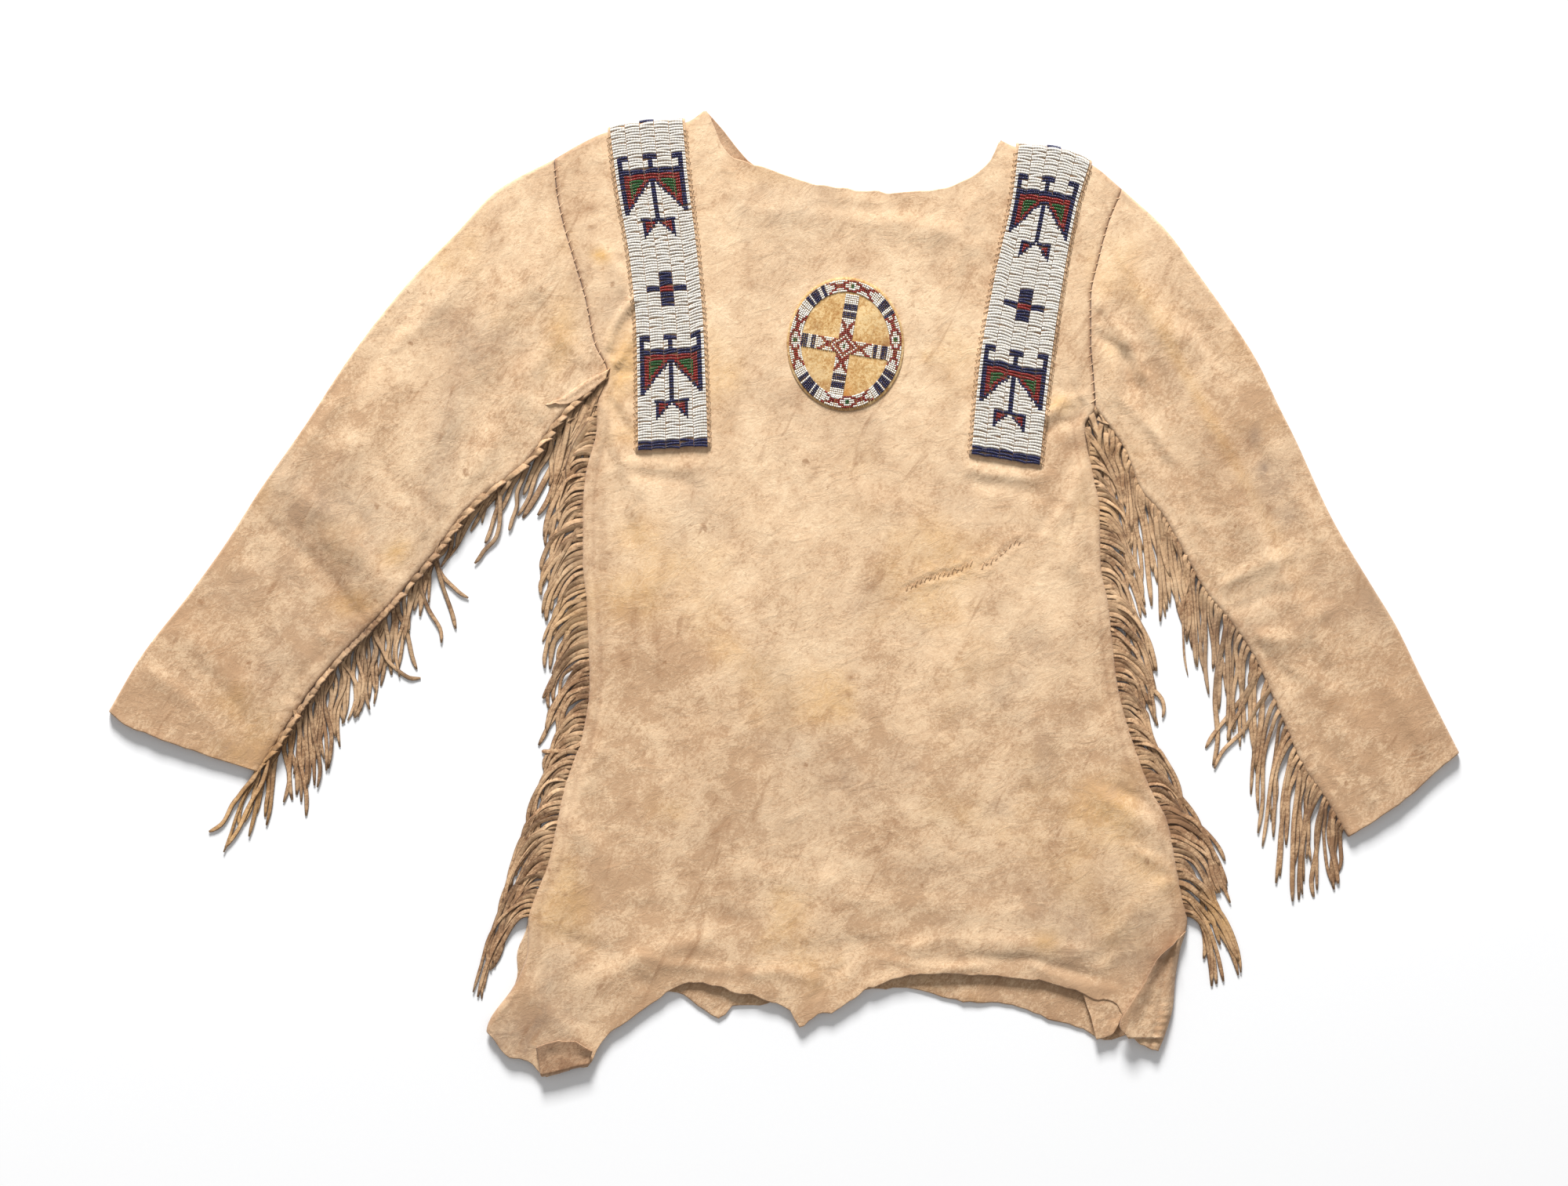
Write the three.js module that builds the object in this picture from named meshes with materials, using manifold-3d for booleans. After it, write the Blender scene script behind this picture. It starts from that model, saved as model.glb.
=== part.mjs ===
// Plains war shirt of tanned hide, laid flat on a surface.
// Millimetres. +X runs across the chest, +Y towards the neck and +Z up from the surface at Z = 0.
// Left and right are those of a viewer who looks down on the front.

import * as THREE from 'three';
import { mergeVertices } from 'three/addons/utils/BufferGeometryUtils.js';
import Module from 'manifold-3d';

const wasm = await Module();
wasm.setup();

const { clamp, lerp, smoothstep } = THREE.MathUtils;

// Driving dimensions of the layers, from the surface up
const hide = 1.6;
const thickestHide = 3;
const seamGap = 0.3;
const armholeGap = 0.7;
const weltThickness = 1.2;
const weltBase = hide + seamGap;
const frontBase = weltBase + weltThickness + seamGap;
const frontTop = frontBase + hide;
const layerGapLimit = 3.9;
const foldFade = 16;
const sleeveFoldRadius = frontTop / 2;

// Shoulder strips: a hide backing with lanes of beadwork, thinner where it lies under the back
const stripBacking = 1.4;
const stripLaneRise = 0.8;
const stripLanes = 5;
const stripBackThickness = 1.2;
const stripFoldRadius = (frontTop - stripBackThickness) / 2 + seamGap / 2;
const stripShoulderGap = 0.6;
const backLift = stripBackThickness + seamGap;
const stripCoverFade = { from: 10, to: 21, below: 0.45 };
const shoulderSeamFade = { from: 2, to: 27 };

// Rosette: an oval of hide with a beaded ring and a beaded cross
const rosette = { x: 41.5, y: 168, radiusX: 39.5, radiusY: 45, lift: 0.35, base: 1, ring: 2, cross: 1.9 };
const rosetteArm = { width: 9.5, turn: 0.19, inset: 0.8, sunk: 0.2 };

// Spans that the grids of points have along and across each piece
const spans = {
  aboveUnderarm: 7, frontBelow: 16, backBelow: 10,
  sleeveLength: 17, sleeveLower: 7, sleeveUpper: 8, sleeveFold: 4,
  stripFront: 12, stripBack: 5, oval: 30, welt: 18,
};

// Places down the sides of the body, as fractions of its height
const underarm = 0.27;
const neckFrom = 0.27;
const neckTo = 0.79;

const table = (columns, rows) =>
  rows.map((row) => Object.fromEntries(columns.map((name, index) => [name, row[index]])));

// Side edges of the front, a row for each level
const sides = table(['y', 'left', 'right'], [
  [293, -155, 233], [273, -153.5, 228], [250, -149, 219], [226, -142, 212.5],
  [199, -134, 207], [168, -127.5, 207], [149, -119, 208.5], [125, -126.5, 210],
  [113, -126.5, 203.5], [80, -134, 209], [56, -136, 213.5], [20, -136, 214],
  [-7, -133.5, 219], [-63, -131.5, 225.5], [-95, -136, 234], [-129, -147.5, 246],
  [-156, -153.5, 259.5], [-182, -159, 264.5], [-208, -169, 269.5], [-222, -173, 272.5],
  [-240, -173, 268], [-262, -180, 264], [-297, -201, 258], [-310, -201, 253],
]);

const shoulderLeft = table(['x', 'y'], [
  [-155, 293], [-138, 303], [-120, 311], [-94, 315.5], [-67, 317.5], [-53, 326.4],
]);
const shoulderRight = table(['x', 'y'], [[146, 306], [157, 301], [183, 298], [208, 289], [228, 273]]);
const neckFront = table(['x', 'y'], [
  [-53, 326.4], [-47, 314], [-42, 303], [-34, 294], [-23, 290], [0, 282], [17, 277],
  [42, 273], [80, 270], [106, 272], [127, 281], [139, 292], [146, 306],
]);
const neckBack = table(['x', 'y'], [
  [-53, 326.4], [-38, 309], [-23, 291], [0, 280], [17, 274],
  [42, 270], [80, 267], [106, 269], [127, 277], [139, 288], [146, 306],
]);

// Ragged lower edges, which keep the outline of the animal's legs
const hemFront = table(['x', 'y'], [
  [-201, -297], [-186, -312], [-172, -316], [-165, -324], [-162, -326.4], [-146, -322], [-132, -319],
  [-127, -304], [-121, -297], [-106, -289], [-81, -271], [-65, -264], [-48, -266.5], [-23, -272],
  [3, -281], [11, -293], [22, -286], [42, -279], [58, -268], [80, -259], [106, -259], [131, -260],
  [162, -261], [185, -265], [202, -271], [224, -279], [236, -301], [253, -310],
]);
const hemBack = table(['x', 'y'], [
  [-201, -288], [-186, -302], [-165, -308], [-132, -306], [-106, -282], [-76, -270], [-63, -277],
  [-52, -285], [-43, -288], [-36, -280], [-16, -278], [3, -273], [22, -274], [42, -271], [60, -267],
  [86, -268.5], [106, -274], [134, -277], [165, -282], [178, -289], [202, -296], [216, -302.5],
  [236, -297], [253, -304],
]);

// A stretch of the back that shows beside the front, low on the left
const backShows = { y: -244, length: 12, reach: 7 };

// Places across a body panel where its columns of points lie, as fractions of its width
const columnsFront = [
  0, 0.033, 0.064, 0.086, 0.12, 0.152, 0.18, 0.209, 0.24, 0.27, 0.3, 0.337, 0.392, 0.43, 0.449, 0.467,
  0.491, 0.535, 0.57, 0.619, 0.676, 0.731, 0.79, 0.818, 0.85, 0.888, 0.936, 0.963, 1,
];
const columnsBack = [
  0, 0.033, 0.079, 0.115, 0.152, 0.18, 0.209, 0.24, 0.27, 0.304, 0.328, 0.348, 0.363, 0.407, 0.449,
  0.491, 0.575, 0.676, 0.738, 0.79, 0.818, 0.84, 0.862, 0.888, 0.919, 0.963, 1,
];

// Sleeves, a row for each section from the armhole to the cuff
const sleeveColumns = ['foldX', 'foldY', 'seamX', 'seamY'];
const sleeveLeft = table(sleeveColumns, [
  [-155, 293, -119, 149], [-192, 273, -150, 120], [-222, 242, -175, 87], [-254, 209, -213, 57],
  [-291, 162, -236, 27], [-324, 112, -267, -9], [-354, 69, -283, -26], [-377, 33, -302, -45],
  [-403, -3, -319, -65], [-434, -43, -336, -90], [-455.8, -80, -355, -121],
]);
const sleeveRight = table(sleeveColumns, [
  [228, 273, 210, 125], [258, 245, 230, 96], [277, 219, 241, 69], [297, 191, 255, 53],
  [319, 157, 268, 30], [334, 126, 285, 0], [345, 104, 299, -17], [370, 50, 316, -41],
  [396, 6, 336, -84], [413, -22, 350, -117], [431, -59, 364, -137], [455.8, -108, 381, -165],
]);
const cuffLeft = table(['x', 'y'], [[-455.8, -80], [-443, -90], [-417, -100], [-392, -109], [-355, -121]]);
const cuffRight = table(['x', 'y'], [[455.8, -108], [440, -121], [421, -138], [403, -151], [381, -165]]);

// Strips, a row for each section from the lower end to the shoulder
const stripColumns = ['leftX', 'rightX', 'y'];
const strips = {
  left: table(stripColumns, [
    [-100, -50, 97], [-101, -53, 173], [-105, -57, 222], [-115, -64, 284], [-119, -67, 318],
  ]),
  right: table(stripColumns, [
    [125, 175, 93], [131, 181, 155], [140, 188, 205], [153, 199, 266], [157, 208, 300],
  ]),
};

// Folds and creases, a row for each ridge or trough of the hide
const foldColumns = ['fromX', 'fromY', 'toX', 'toY', 'width', 'height'];
const foldsFront = table(foldColumns, [
  [-119, 118, -102, 58, 10, 2],
  [209, 92, 190, 56, 9, 2],
  [200, 20, 228, -110, 15, 1.6],
  [-10, 258, 104, 248, 13, 1.1],
  [-128, -110, -146, -205, 14, 1.5],
  [-120, -258, -60, -238, 13, 1.7],
  [0, -246, 60, -238, 12, -1.2],
  [90, -238, 196, -244, 11, 1.8],
  [222, -142, 254, -166, 11, 2.2],
  [214, -232, 246, -214, 10, 1.6],
  [-30, -20, -60, -150, 22, 1.2],
  [120, -40, 90, -170, 24, 1.2],
]);
const foldsLeft = table(foldColumns, [
  [-341, 42, -280, -30, 11, -1.2],
  [-318, 60, -262, -8, 13, 2.4],
  [-150, 236, -228, 118, 18, 1.8],
  [-236, 196, -300, 84, 16, 1.1],
  [-400, -34, -346, -88, 14, 1.6],
  [-160, 160, -205, 84, 12, 1.5],
]);
const foldsRight = table(foldColumns, [
  [216, 224, 226, 140, 11, 2.2],
  [246, 196, 304, 60, 17, 2.4],
  [304, 60, 356, -28, 15, 1.9],
  [294, -16, 338, 14, 10, -1.2],
  [308, -38, 362, -14, 10, 2],
  [362, -60, 402, -120, 14, 1.5],
]);

// Fringe, a row for each place along the seam with the reach of a strand's tip and of its bend
const fringeColumns = ['along', 'tipX', 'tipY', 'bendX', 'bendY'];
const fringes = {
  sideLeft: { strands: 46, width: 2.4, steps: 3, rows: table(fringeColumns, [
    [0, -15, -20, -9, -4], [0.12, -25, -29, -14, -5], [0.45, -28, -32, -15, -6],
    [0.75, -31, -36, -16, -9], [1, -43, -46, -22, -15],
  ]) },
  sideRight: { strands: 44, width: 2.4, steps: 3, rows: table(fringeColumns, [
    [0, 12, -18, 7, -4], [0.12, 20, -27, 12, -5], [0.45, 28, -33, 15, -6],
    [0.75, 28, -33, 15, -7], [1, 36, -42, 18, -13],
  ]) },
  sleeveLeft: { strands: 42, width: 2.3, steps: 3, rows: table(fringeColumns, [
    [0, -8, -36, 0, -16], [0.2, -6, -46, 0, -18], [0.5, -5, -55, 0, -20],
    [0.8, -8, -62, -1, -26], [1, -26, -50, -8, -24],
  ]) },
  sleeveRight: { strands: 42, width: 2.3, steps: 3, rows: table(fringeColumns, [
    [0, 2, -44, 1, -18], [0.25, 1, -58, 0, -22], [0.5, 0, -66, 0, -26],
    [0.8, -5, -60, 0, -26], [1, -9, -42, -1, -18],
  ]) },
};
const weltInside = 5;
const weltOutside = 0.4;
const strandInside = 2;
const strandHeight = 1;
const strandRoot = weltBase + (weltThickness - strandHeight) / 2;
const strandFloor = 0.6;
const strandSink = 0.2;
const strandScatter = 0.14;
const strandTaper = 0.25;
const goldenStep = 0.618034;
const fringeRun = { sideLeft: 108, sideRight: 98, sideEnd: -218, sleeveLeft: 0.16, sleeveRight: 0.2, sleeveEnd: 0.985 };

// Corners of the front that lie folded over, a row for each section from the fold to the free edge
const flapColumns = ['foldX', 'foldY', 'edgeX', 'edgeY'];
const flapRight = table(flapColumns, [
  [271, -229, 262, -238], [266, -245, 253, -246], [263.5, -262, 244, -262],
  [262, -280, 233, -279], [259, -292, 226, -292], [256, -301, 232, -301],
]);
const tabLeft = table(flapColumns, [
  [-162, -325, -164, -309], [-154, -323.5, -154, -305.5], [-145, -321, -145, -305],
  [-136, -319.5, -134, -312],
]);

// The flap's thickness over the front, rounded at the fold and sunk into the wall that it is part of
const flapSections = table(['at', 'base', 'top'], [
  [0, -0.9 * hide, 0.5 * hide], [0.12, -0.4 * hide, hide], [1, -0.4 * hide, hide],
]);

// Colours from the garment
const colours = { hide: 0xcfab80, beads: 0xe7e2d3, fringe: 0xbd955f, backHide: 0xc9a77c };
const leather = (color) => new THREE.MeshStandardMaterial({ color, roughness: 0.9, metalness: 0 });

// A smooth curve without overshoot through the rows, as a function of one column
function smoothThrough(rows, along, value) {
  const sorted = [...rows].sort((a, b) => a[along] - b[along]);
  const at = sorted.map((row) => row[along]);
  const to = sorted.map((row) => row[value]);
  const slopes = at.slice(1).map((next, index) => (to[index + 1] - to[index]) / (next - at[index]));
  const tangents = at.map((_, index) => {
    const before = slopes[Math.max(index - 1, 0)];
    const after = slopes[Math.min(index, slopes.length - 1)];
    return before * after <= 0 ? 0 : (2 * before * after) / (before + after);
  });
  return (place) => {
    const kept = clamp(place, at[0], at[at.length - 1]);
    let index = 0;
    while (index < at.length - 2 && kept > at[index + 1]) index += 1;
    const span = at[index + 1] - at[index];
    const f = (kept - at[index]) / span;
    const rise = f * f * (3 - 2 * f);
    const leave = tangents[index] * span * f * (1 - f) * (1 - f);
    const arrive = tangents[index + 1] * span * f * f * (1 - f);
    return lerp(to[index], to[index + 1], rise) + leave - arrive;
  };
}

// The same rows walked from first to last by a fraction
function walkThrough(rows, x, y) {
  const numbered = rows.map((row, index) => ({ x: row[x], y: row[y], step: index / (rows.length - 1) }));
  const toX = smoothThrough(numbered, 'step', 'x');
  const toY = smoothThrough(numbered, 'step', 'y');
  return (fraction) => ({ x: toX(fraction), y: toY(fraction) });
}

// A Coons patch in plan between four edges that share their corners
function planPatch(top, bottom, left, right) {
  const mix = (s, t, axis) =>
    lerp(top(s)[axis], bottom(s)[axis], t) + lerp(left(t)[axis], right(t)[axis], s) -
    lerp(lerp(top(0)[axis], top(1)[axis], s), lerp(bottom(0)[axis], bottom(1)[axis], s), t);
  return (s, t) => ({ x: mix(s, t, 'x'), y: mix(s, t, 'y') });
}

const spread = (from, to, count) => Array.from({ length: count }, (_, index) => lerp(from, to, index / count));
const evenly = (count) => [...spread(0, 1, count), 1];

// Height that the folds add at a place
function foldHeight(folds, x, y) {
  return folds.reduce((sum, fold) => {
    const runX = fold.toX - fold.fromX;
    const runY = fold.toY - fold.fromY;
    const along = clamp(((x - fold.fromX) * runX + (y - fold.fromY) * runY) / (runX ** 2 + runY ** 2), 0, 1);
    const away = Math.hypot(x - fold.fromX - along * runX, y - fold.fromY - along * runY);
    return sum + fold.height * Math.exp(-((away / fold.width) ** 2));
  }, 0);
}

// Inner height of a wall whose outer height is given, so that the layers neither touch nor part far
const wallUnder = (top) => clamp(top - hide, hide + seamGap, hide + layerGapLimit);
const wallTop = (top) => Math.min(top, hide + layerGapLimit + thickestHide);

// A closed wall between two grids of points with the same rows and columns
function wallGeometry(outer, inner) {
  const rows = outer.length;
  const columns = outer[0].length;
  const position = [...outer.flat(), ...inner.flat()].flatMap((point) => [point.x, point.y, point.z]);
  const half = rows * columns;
  const index = [];
  const quad = (a, b, c, d) => index.push(a, b, c, a, c, d);
  for (let row = 0; row < rows - 1; row += 1) {
    for (let column = 0; column < columns - 1; column += 1) {
      const a = row * columns + column;
      quad(a, a + 1, a + columns + 1, a + columns);
      quad(half + a, half + a + columns, half + a + columns + 1, half + a + 1);
    }
  }
  const rim = [
    ...Array.from({ length: columns - 1 }, (_, column) => [column + 1, column]),
    ...Array.from({ length: rows - 1 }, (_, row) => [row * columns, (row + 1) * columns]),
    ...Array.from({ length: columns - 1 }, (_, column) => [half - columns + column, half - columns + column + 1]),
    ...Array.from({ length: rows - 1 }, (_, row) => [(row + 2) * columns - 1, (row + 1) * columns - 1]),
  ];
  rim.forEach(([a, b]) => quad(a, b, half + b, half + a));
  const geometry = new THREE.BufferGeometry();
  geometry.setAttribute('position', new THREE.Float32BufferAttribute(position, 3));
  geometry.setIndex(index);
  return facingOut(geometry);
}

// Turns every triangle of a closed geometry round when it encloses a negative volume
function facingOut(geometry) {
  const position = geometry.getAttribute('position');
  const index = geometry.getIndex();
  const [a, b, c] = [new THREE.Vector3(), new THREE.Vector3(), new THREE.Vector3()];
  let volume = 0;
  for (let corner = 0; corner < index.count; corner += 3) {
    [a, b, c].forEach((point, step) => point.fromBufferAttribute(position, index.getX(corner + step)));
    volume += a.dot(b.cross(c));
  }
  if (volume < 0) index.array.reverse();
  return geometry;
}

function toSolid(geometry) {
  const bare = geometry.clone();
  bare.deleteAttribute('normal');
  bare.deleteAttribute('uv');
  const merged = mergeVertices(bare, 1e-4);
  return new wasm.Manifold(new wasm.Mesh({
    numProp: 3,
    vertProperties: new Float32Array(merged.getAttribute('position').array),
    triVerts: new Uint32Array(merged.getIndex().array),
  }));
}

function fromSolid(solid) {
  const mesh = solid.getMesh();
  const geometry = new THREE.BufferGeometry();
  geometry.setAttribute('position', new THREE.Float32BufferAttribute(Array.from(mesh.vertProperties), 3));
  geometry.setIndex(Array.from(mesh.triVerts));
  return geometry;
}

const joined = (geometries) => fromSolid(geometries.map(toSolid).reduce((sum, solid) => sum.add(solid)));

// Edges of the body in plan
const leftEdge = smoothThrough(sides, 'y', 'left');
const rightEdge = smoothThrough(sides, 'y', 'right');
const shoulderHeights = [smoothThrough(shoulderLeft, 'x', 'y'), smoothThrough(shoulderRight, 'x', 'y')];
const neckLeftX = neckFront[0].x;
const neckRightX = neckFront[neckFront.length - 1].x;
const underarmY = { left: 149, right: 125 };

function shoulderY(x) {
  const across = clamp((x - neckLeftX) / (neckRightX - neckLeftX), 0, 1);
  return lerp(shoulderHeights[0](Math.min(x, neckLeftX)), shoulderHeights[1](Math.max(x, neckRightX)), across);
}

// Plan of a body panel with its own neck, hem and side edges
function bodyPlan(neck, hem, edgeLeft, edgeRight) {
  const neckY = smoothThrough(neck, 'x', 'y');
  const hemY = smoothThrough(hem, 'x', 'y');
  const startLeft = shoulderLeft[0];
  const startRight = shoulderRight[shoulderRight.length - 1];
  const top = (s) => {
    if (s <= neckFrom) {
      const x = lerp(startLeft.x, neckLeftX, s / neckFrom);
      return { x, y: shoulderHeights[0](x) };
    }
    if (s >= neckTo) {
      const x = lerp(neckRightX, startRight.x, (s - neckTo) / (1 - neckTo));
      return { x, y: shoulderHeights[1](x) };
    }
    const x = lerp(neckLeftX, neckRightX, (s - neckFrom) / (neckTo - neckFrom));
    return { x, y: neckY(x) };
  };
  const bottom = (s) => {
    const x = lerp(hem[0].x, hem[hem.length - 1].x, s);
    return { x, y: hemY(x) };
  };
  const side = (start, under, end, edge) => (t) => {
    const y = t < underarm ? lerp(start, under, t / underarm) : lerp(under, end, (t - underarm) / (1 - underarm));
    return { x: edge(y), y };
  };
  return planPatch(
    top,
    bottom,
    side(startLeft.y, underarmY.left, hem[0].y, edgeLeft),
    side(startRight.y, underarmY.right, hem[hem.length - 1].y, edgeRight),
  );
}

function panelGeometry(plan, across, down, upper, lower) {
  const grid = (height) => across.map((s) => down.map((t) => {
    const { x, y } = plan(s, t);
    return { x, y, z: height(x, y) };
  }));
  return wallGeometry(grid(upper), grid(lower));
}

// The front lies on the back, with its folds and its two corners folded over
function frontHeight(x, y) {
  const fromSide = Math.min(x - leftEdge(y), rightEdge(y) - x);
  return wallTop(frontTop + smoothstep(fromSide, weltInside, foldFade) * foldHeight(foldsFront, x, y));
}

function flapGeometry(rows) {
  const grid = (level) => rows.map((row) => flapSections.map((section) => {
    const x = lerp(row.foldX, row.edgeX, section.at);
    const y = lerp(row.foldY, row.edgeY, section.at);
    return { x, y, z: frontHeight(x, y) + section[level] };
  }));
  return wallGeometry(grid('top'), grid('base'));
}

function frontGeometry() {
  const plan = bodyPlan(neckFront, hemFront, leftEdge, rightEdge);
  const down = [...spread(0, underarm, spans.aboveUnderarm), ...spread(underarm, 1, spans.frontBelow), 1];
  const panel = panelGeometry(plan, columnsFront, down, frontHeight, (x, y) => wallUnder(frontHeight(x, y)));
  return joined([panel, flapGeometry(flapRight), flapGeometry(tabLeft)]);
}

// The back lies on the surface, raised where the strips run under it and at the shoulder seams
function stripCover(x, y) {
  return Math.max(...Object.values(strips).map((rows) => {
    const left = smoothThrough(rows, 'y', 'leftX')(y);
    const right = smoothThrough(rows, 'y', 'rightX')(y);
    const beside = Math.max(left - x, x - right, 0);
    const below = Math.max(rows[0].y - y, 0);
    const { from, to, below: share } = stripCoverFade;
    return 1 - smoothstep(Math.max(beside, share * below), from, to);
  }));
}

function backRise(x, y) {
  const seam = 1 - smoothstep(shoulderY(x) - y, shoulderSeamFade.from, shoulderSeamFade.to);
  return backLift * Math.max(seam, stripCover(x, y));
}

function backGeometry() {
  const shows = (y) => backShows.reach * Math.exp(-(((y - backShows.y) / backShows.length) ** 2));
  const plan = bodyPlan(neckBack, hemBack, (y) => leftEdge(y) - shows(y), rightEdge);
  const down = [...spread(0, underarm, spans.aboveUnderarm), ...spread(underarm, 1, spans.backBelow), 1];
  return panelGeometry(plan, columnsBack, down, (x, y) => hide + backRise(x, y), backRise);
}

// A sleeve is one hide folded along its outer edge: lower layer, round fold and upper layer
function sleeveGeometry(rows, cuff, bodyEdge, side, folds) {
  const armY = (s) => lerp(rows[0].foldY, rows[0].seamY, s);
  const plan = planPatch(
    (s) => ({ x: bodyEdge(armY(s)), y: armY(s) }),
    walkThrough(cuff, 'x', 'y'),
    walkThrough(rows, 'foldX', 'foldY'),
    walkThrough(rows, 'seamX', 'seamY'),
  );
  const angles = spread(-90, 90, spans.sleeveFold).slice(1).map(THREE.MathUtils.degToRad);
  const section = (t, wall) => {
    const width = Math.hypot(plan(0, t).x - plan(1, t).x, plan(0, t).y - plan(1, t).y);
    const radius = sleeveFoldRadius - wall;
    const placed = (inward, height) => {
      const { x, y } = plan(inward / width, t);
      return { x: x + side * armholeGap, y, z: height(x, y, inward) };
    };
    const upper = (x, y, inward) => {
      const faded = smoothstep(inward, sleeveFoldRadius, foldFade) * smoothstep(width - inward, weltInside, foldFade);
      const top = wallTop(frontTop + faded * foldHeight(folds, x, y));
      return wall > 0 ? wallUnder(top) : top;
    };
    return [
      ...spread(width, sleeveFoldRadius, spans.sleeveLower).map((inward) => placed(inward, () => wall)),
      placed(sleeveFoldRadius, () => wall),
      ...angles.map((angle) => placed(
        sleeveFoldRadius - radius * Math.cos(angle),
        () => sleeveFoldRadius + radius * Math.sin(angle),
      )),
      ...[...spread(sleeveFoldRadius, width, spans.sleeveUpper), width].map((inward) => placed(inward, upper)),
    ];
  };
  const stations = evenly(spans.sleeveLength);
  return wallGeometry(stations.map((t) => section(t, 0)), stations.map((t) => section(t, hide)));
}

// A strip lies on the front, turns over the shoulder and runs on under the back
function stripGeometry(rows) {
  const leftX = smoothThrough(rows, 'y', 'leftX');
  const rightX = smoothThrough(rows, 'y', 'rightX');
  const [end, shoulder] = [rows[0].y, rows[rows.length - 1].y];
  const across = evenly(2 * stripLanes);
  const laneRise = (index) => (index % 2 === 1 ? stripLaneRise : 0);
  const planAt = (u, run) => {
    const level = lerp(end, shoulder, run);
    const x = lerp(leftX(level), rightX(level), u);
    return { x, y: lerp(end, shoulderY(x) + stripShoulderGap, run) };
  };
  const stations = [
    ...evenly(spans.stripFront).map((run) => ({ run, turn: 90 })),
    ...[45, 0, -45].map((turn) => ({ run: 1, turn })),
    ...evenly(spans.stripBack).map((run) => ({ run: 1 - run, turn: -90 })),
  ];
  const middle = frontTop + seamGap - stripFoldRadius;
  const grid = (outer) => stations.map(({ run, turn }) => across.map((u, index) => {
    const { x, y } = planAt(u, run);
    const angle = THREE.MathUtils.degToRad(turn);
    const front = outer ? stripBacking + laneRise(index) : 0;
    const under = outer ? stripBackThickness : 0;
    const reach = stripFoldRadius + lerp(under, front, (turn + 90) / 180);
    const rest = turn === 90 ? frontHeight(x, y) - frontTop : 0;
    return { x, y: y + reach * Math.cos(angle), z: middle + reach * Math.sin(angle) + rest };
  }));
  return wallGeometry(grid(true), grid(false));
}

function rosetteGeometry() {
  const base = frontTop + rosette.lift;
  const profile = [
    [0, 0], [1, 0], [1, rosette.base], [0.95, rosette.ring], [0.78, rosette.ring],
    [0.73, rosette.base], [0, rosette.base],
  ].map(([radius, height]) => new THREE.Vector2(radius, height));
  const oval = new THREE.LatheGeometry(profile, spans.oval);
  oval.rotateX(Math.PI / 2);
  oval.scale(rosette.radiusX, rosette.radiusY, 1);
  const arms = [rosette.radiusX, rosette.radiusY].map((radius, index) => {
    const length = 2 * rosetteArm.inset * radius;
    const arm = new THREE.BoxGeometry(length, rosetteArm.width, rosette.cross - rosetteArm.sunk);
    arm.translate(0, 0, (rosette.cross + rosetteArm.sunk) / 2);
    arm.rotateZ((index * Math.PI) / 2 - rosetteArm.turn);
    return arm;
  });
  const geometry = joined([oval, ...arms]);
  geometry.translate(rosette.x, rosette.y, base);
  return geometry;
}

// Even scatter between -1 and 1 for the strand with this number
const scatter = (number) => 2 * ((number * goldenStep) % 1) - 1;

// A strand is a triangular bar along a bent path, which leaves the welt and sinks to the surface
function strandGeometry(root, tip, bend, steps, width) {
  const path = new THREE.QuadraticBezierCurve3(
    new THREE.Vector3(root.x, root.y, strandRoot),
    new THREE.Vector3(root.x + bend.x, root.y + bend.y, strandRoot - strandSink),
    new THREE.Vector3(root.x + tip.x, root.y + tip.y, strandFloor),
  );
  const position = [];
  evenly(steps).forEach((t) => {
    const at = path.getPoint(t);
    const along = path.getTangent(t);
    const length = Math.hypot(along.x, along.y);
    const half = (width / 2) * (1 - strandTaper * t);
    const side = { x: (-along.y / length) * half, y: (along.x / length) * half };
    position.push(at.x + side.x, at.y + side.y, at.z);
    position.push(at.x - side.x, at.y - side.y, at.z);
    position.push(at.x, at.y, at.z + strandHeight);
  });
  const index = [0, 1, 2, 3 * steps, 3 * steps + 2, 3 * steps + 1];
  for (let step = 0; step < steps; step += 1) {
    [[0, 1], [1, 2], [2, 0]].forEach(([from, to]) => {
      const [a, b] = [3 * step + from, 3 * step + to];
      index.push(a, a + 3, b + 3, a, b + 3, b);
    });
  }
  const geometry = new THREE.BufferGeometry();
  geometry.setAttribute('position', new THREE.Float32BufferAttribute(position, 3));
  geometry.setIndex(index);
  return facingOut(geometry);
}

// A fringe is a welt let into a seam, with its strands cut from the same hide
function fringeGeometry(fringe, seam, outward) {
  const welt = evenly(spans.welt).map((along) => {
    const { x, y } = seam(along);
    const out = outward(along);
    return [weltOutside, -weltInside].map((reach) => ({ x: x + reach * out.x, y: y + reach * out.y }));
  });
  const level = (z) => welt.map((pair) => pair.map((point) => ({ ...point, z })));
  const reach = Object.fromEntries(fringeColumns.slice(1)
    .map((column) => [column, smoothThrough(fringe.rows, 'along', column)]));
  const strands = Array.from({ length: fringe.strands }, (_, number) => {
    const along = (number + 0.5) / fringe.strands;
    const length = 1 + strandScatter * scatter(number);
    const out = outward(along);
    const { x, y } = seam(along);
    const root = { x: x - strandInside * out.x, y: y - strandInside * out.y };
    const tip = { x: reach.tipX(along) * length, y: reach.tipY(along) * length };
    const bend = { x: reach.bendX(along), y: reach.bendY(along) };
    return strandGeometry(root, tip, bend, fringe.steps, fringe.width);
  });
  return joined([wallGeometry(level(weltBase + weltThickness), level(weltBase)), ...strands]);
}

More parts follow.
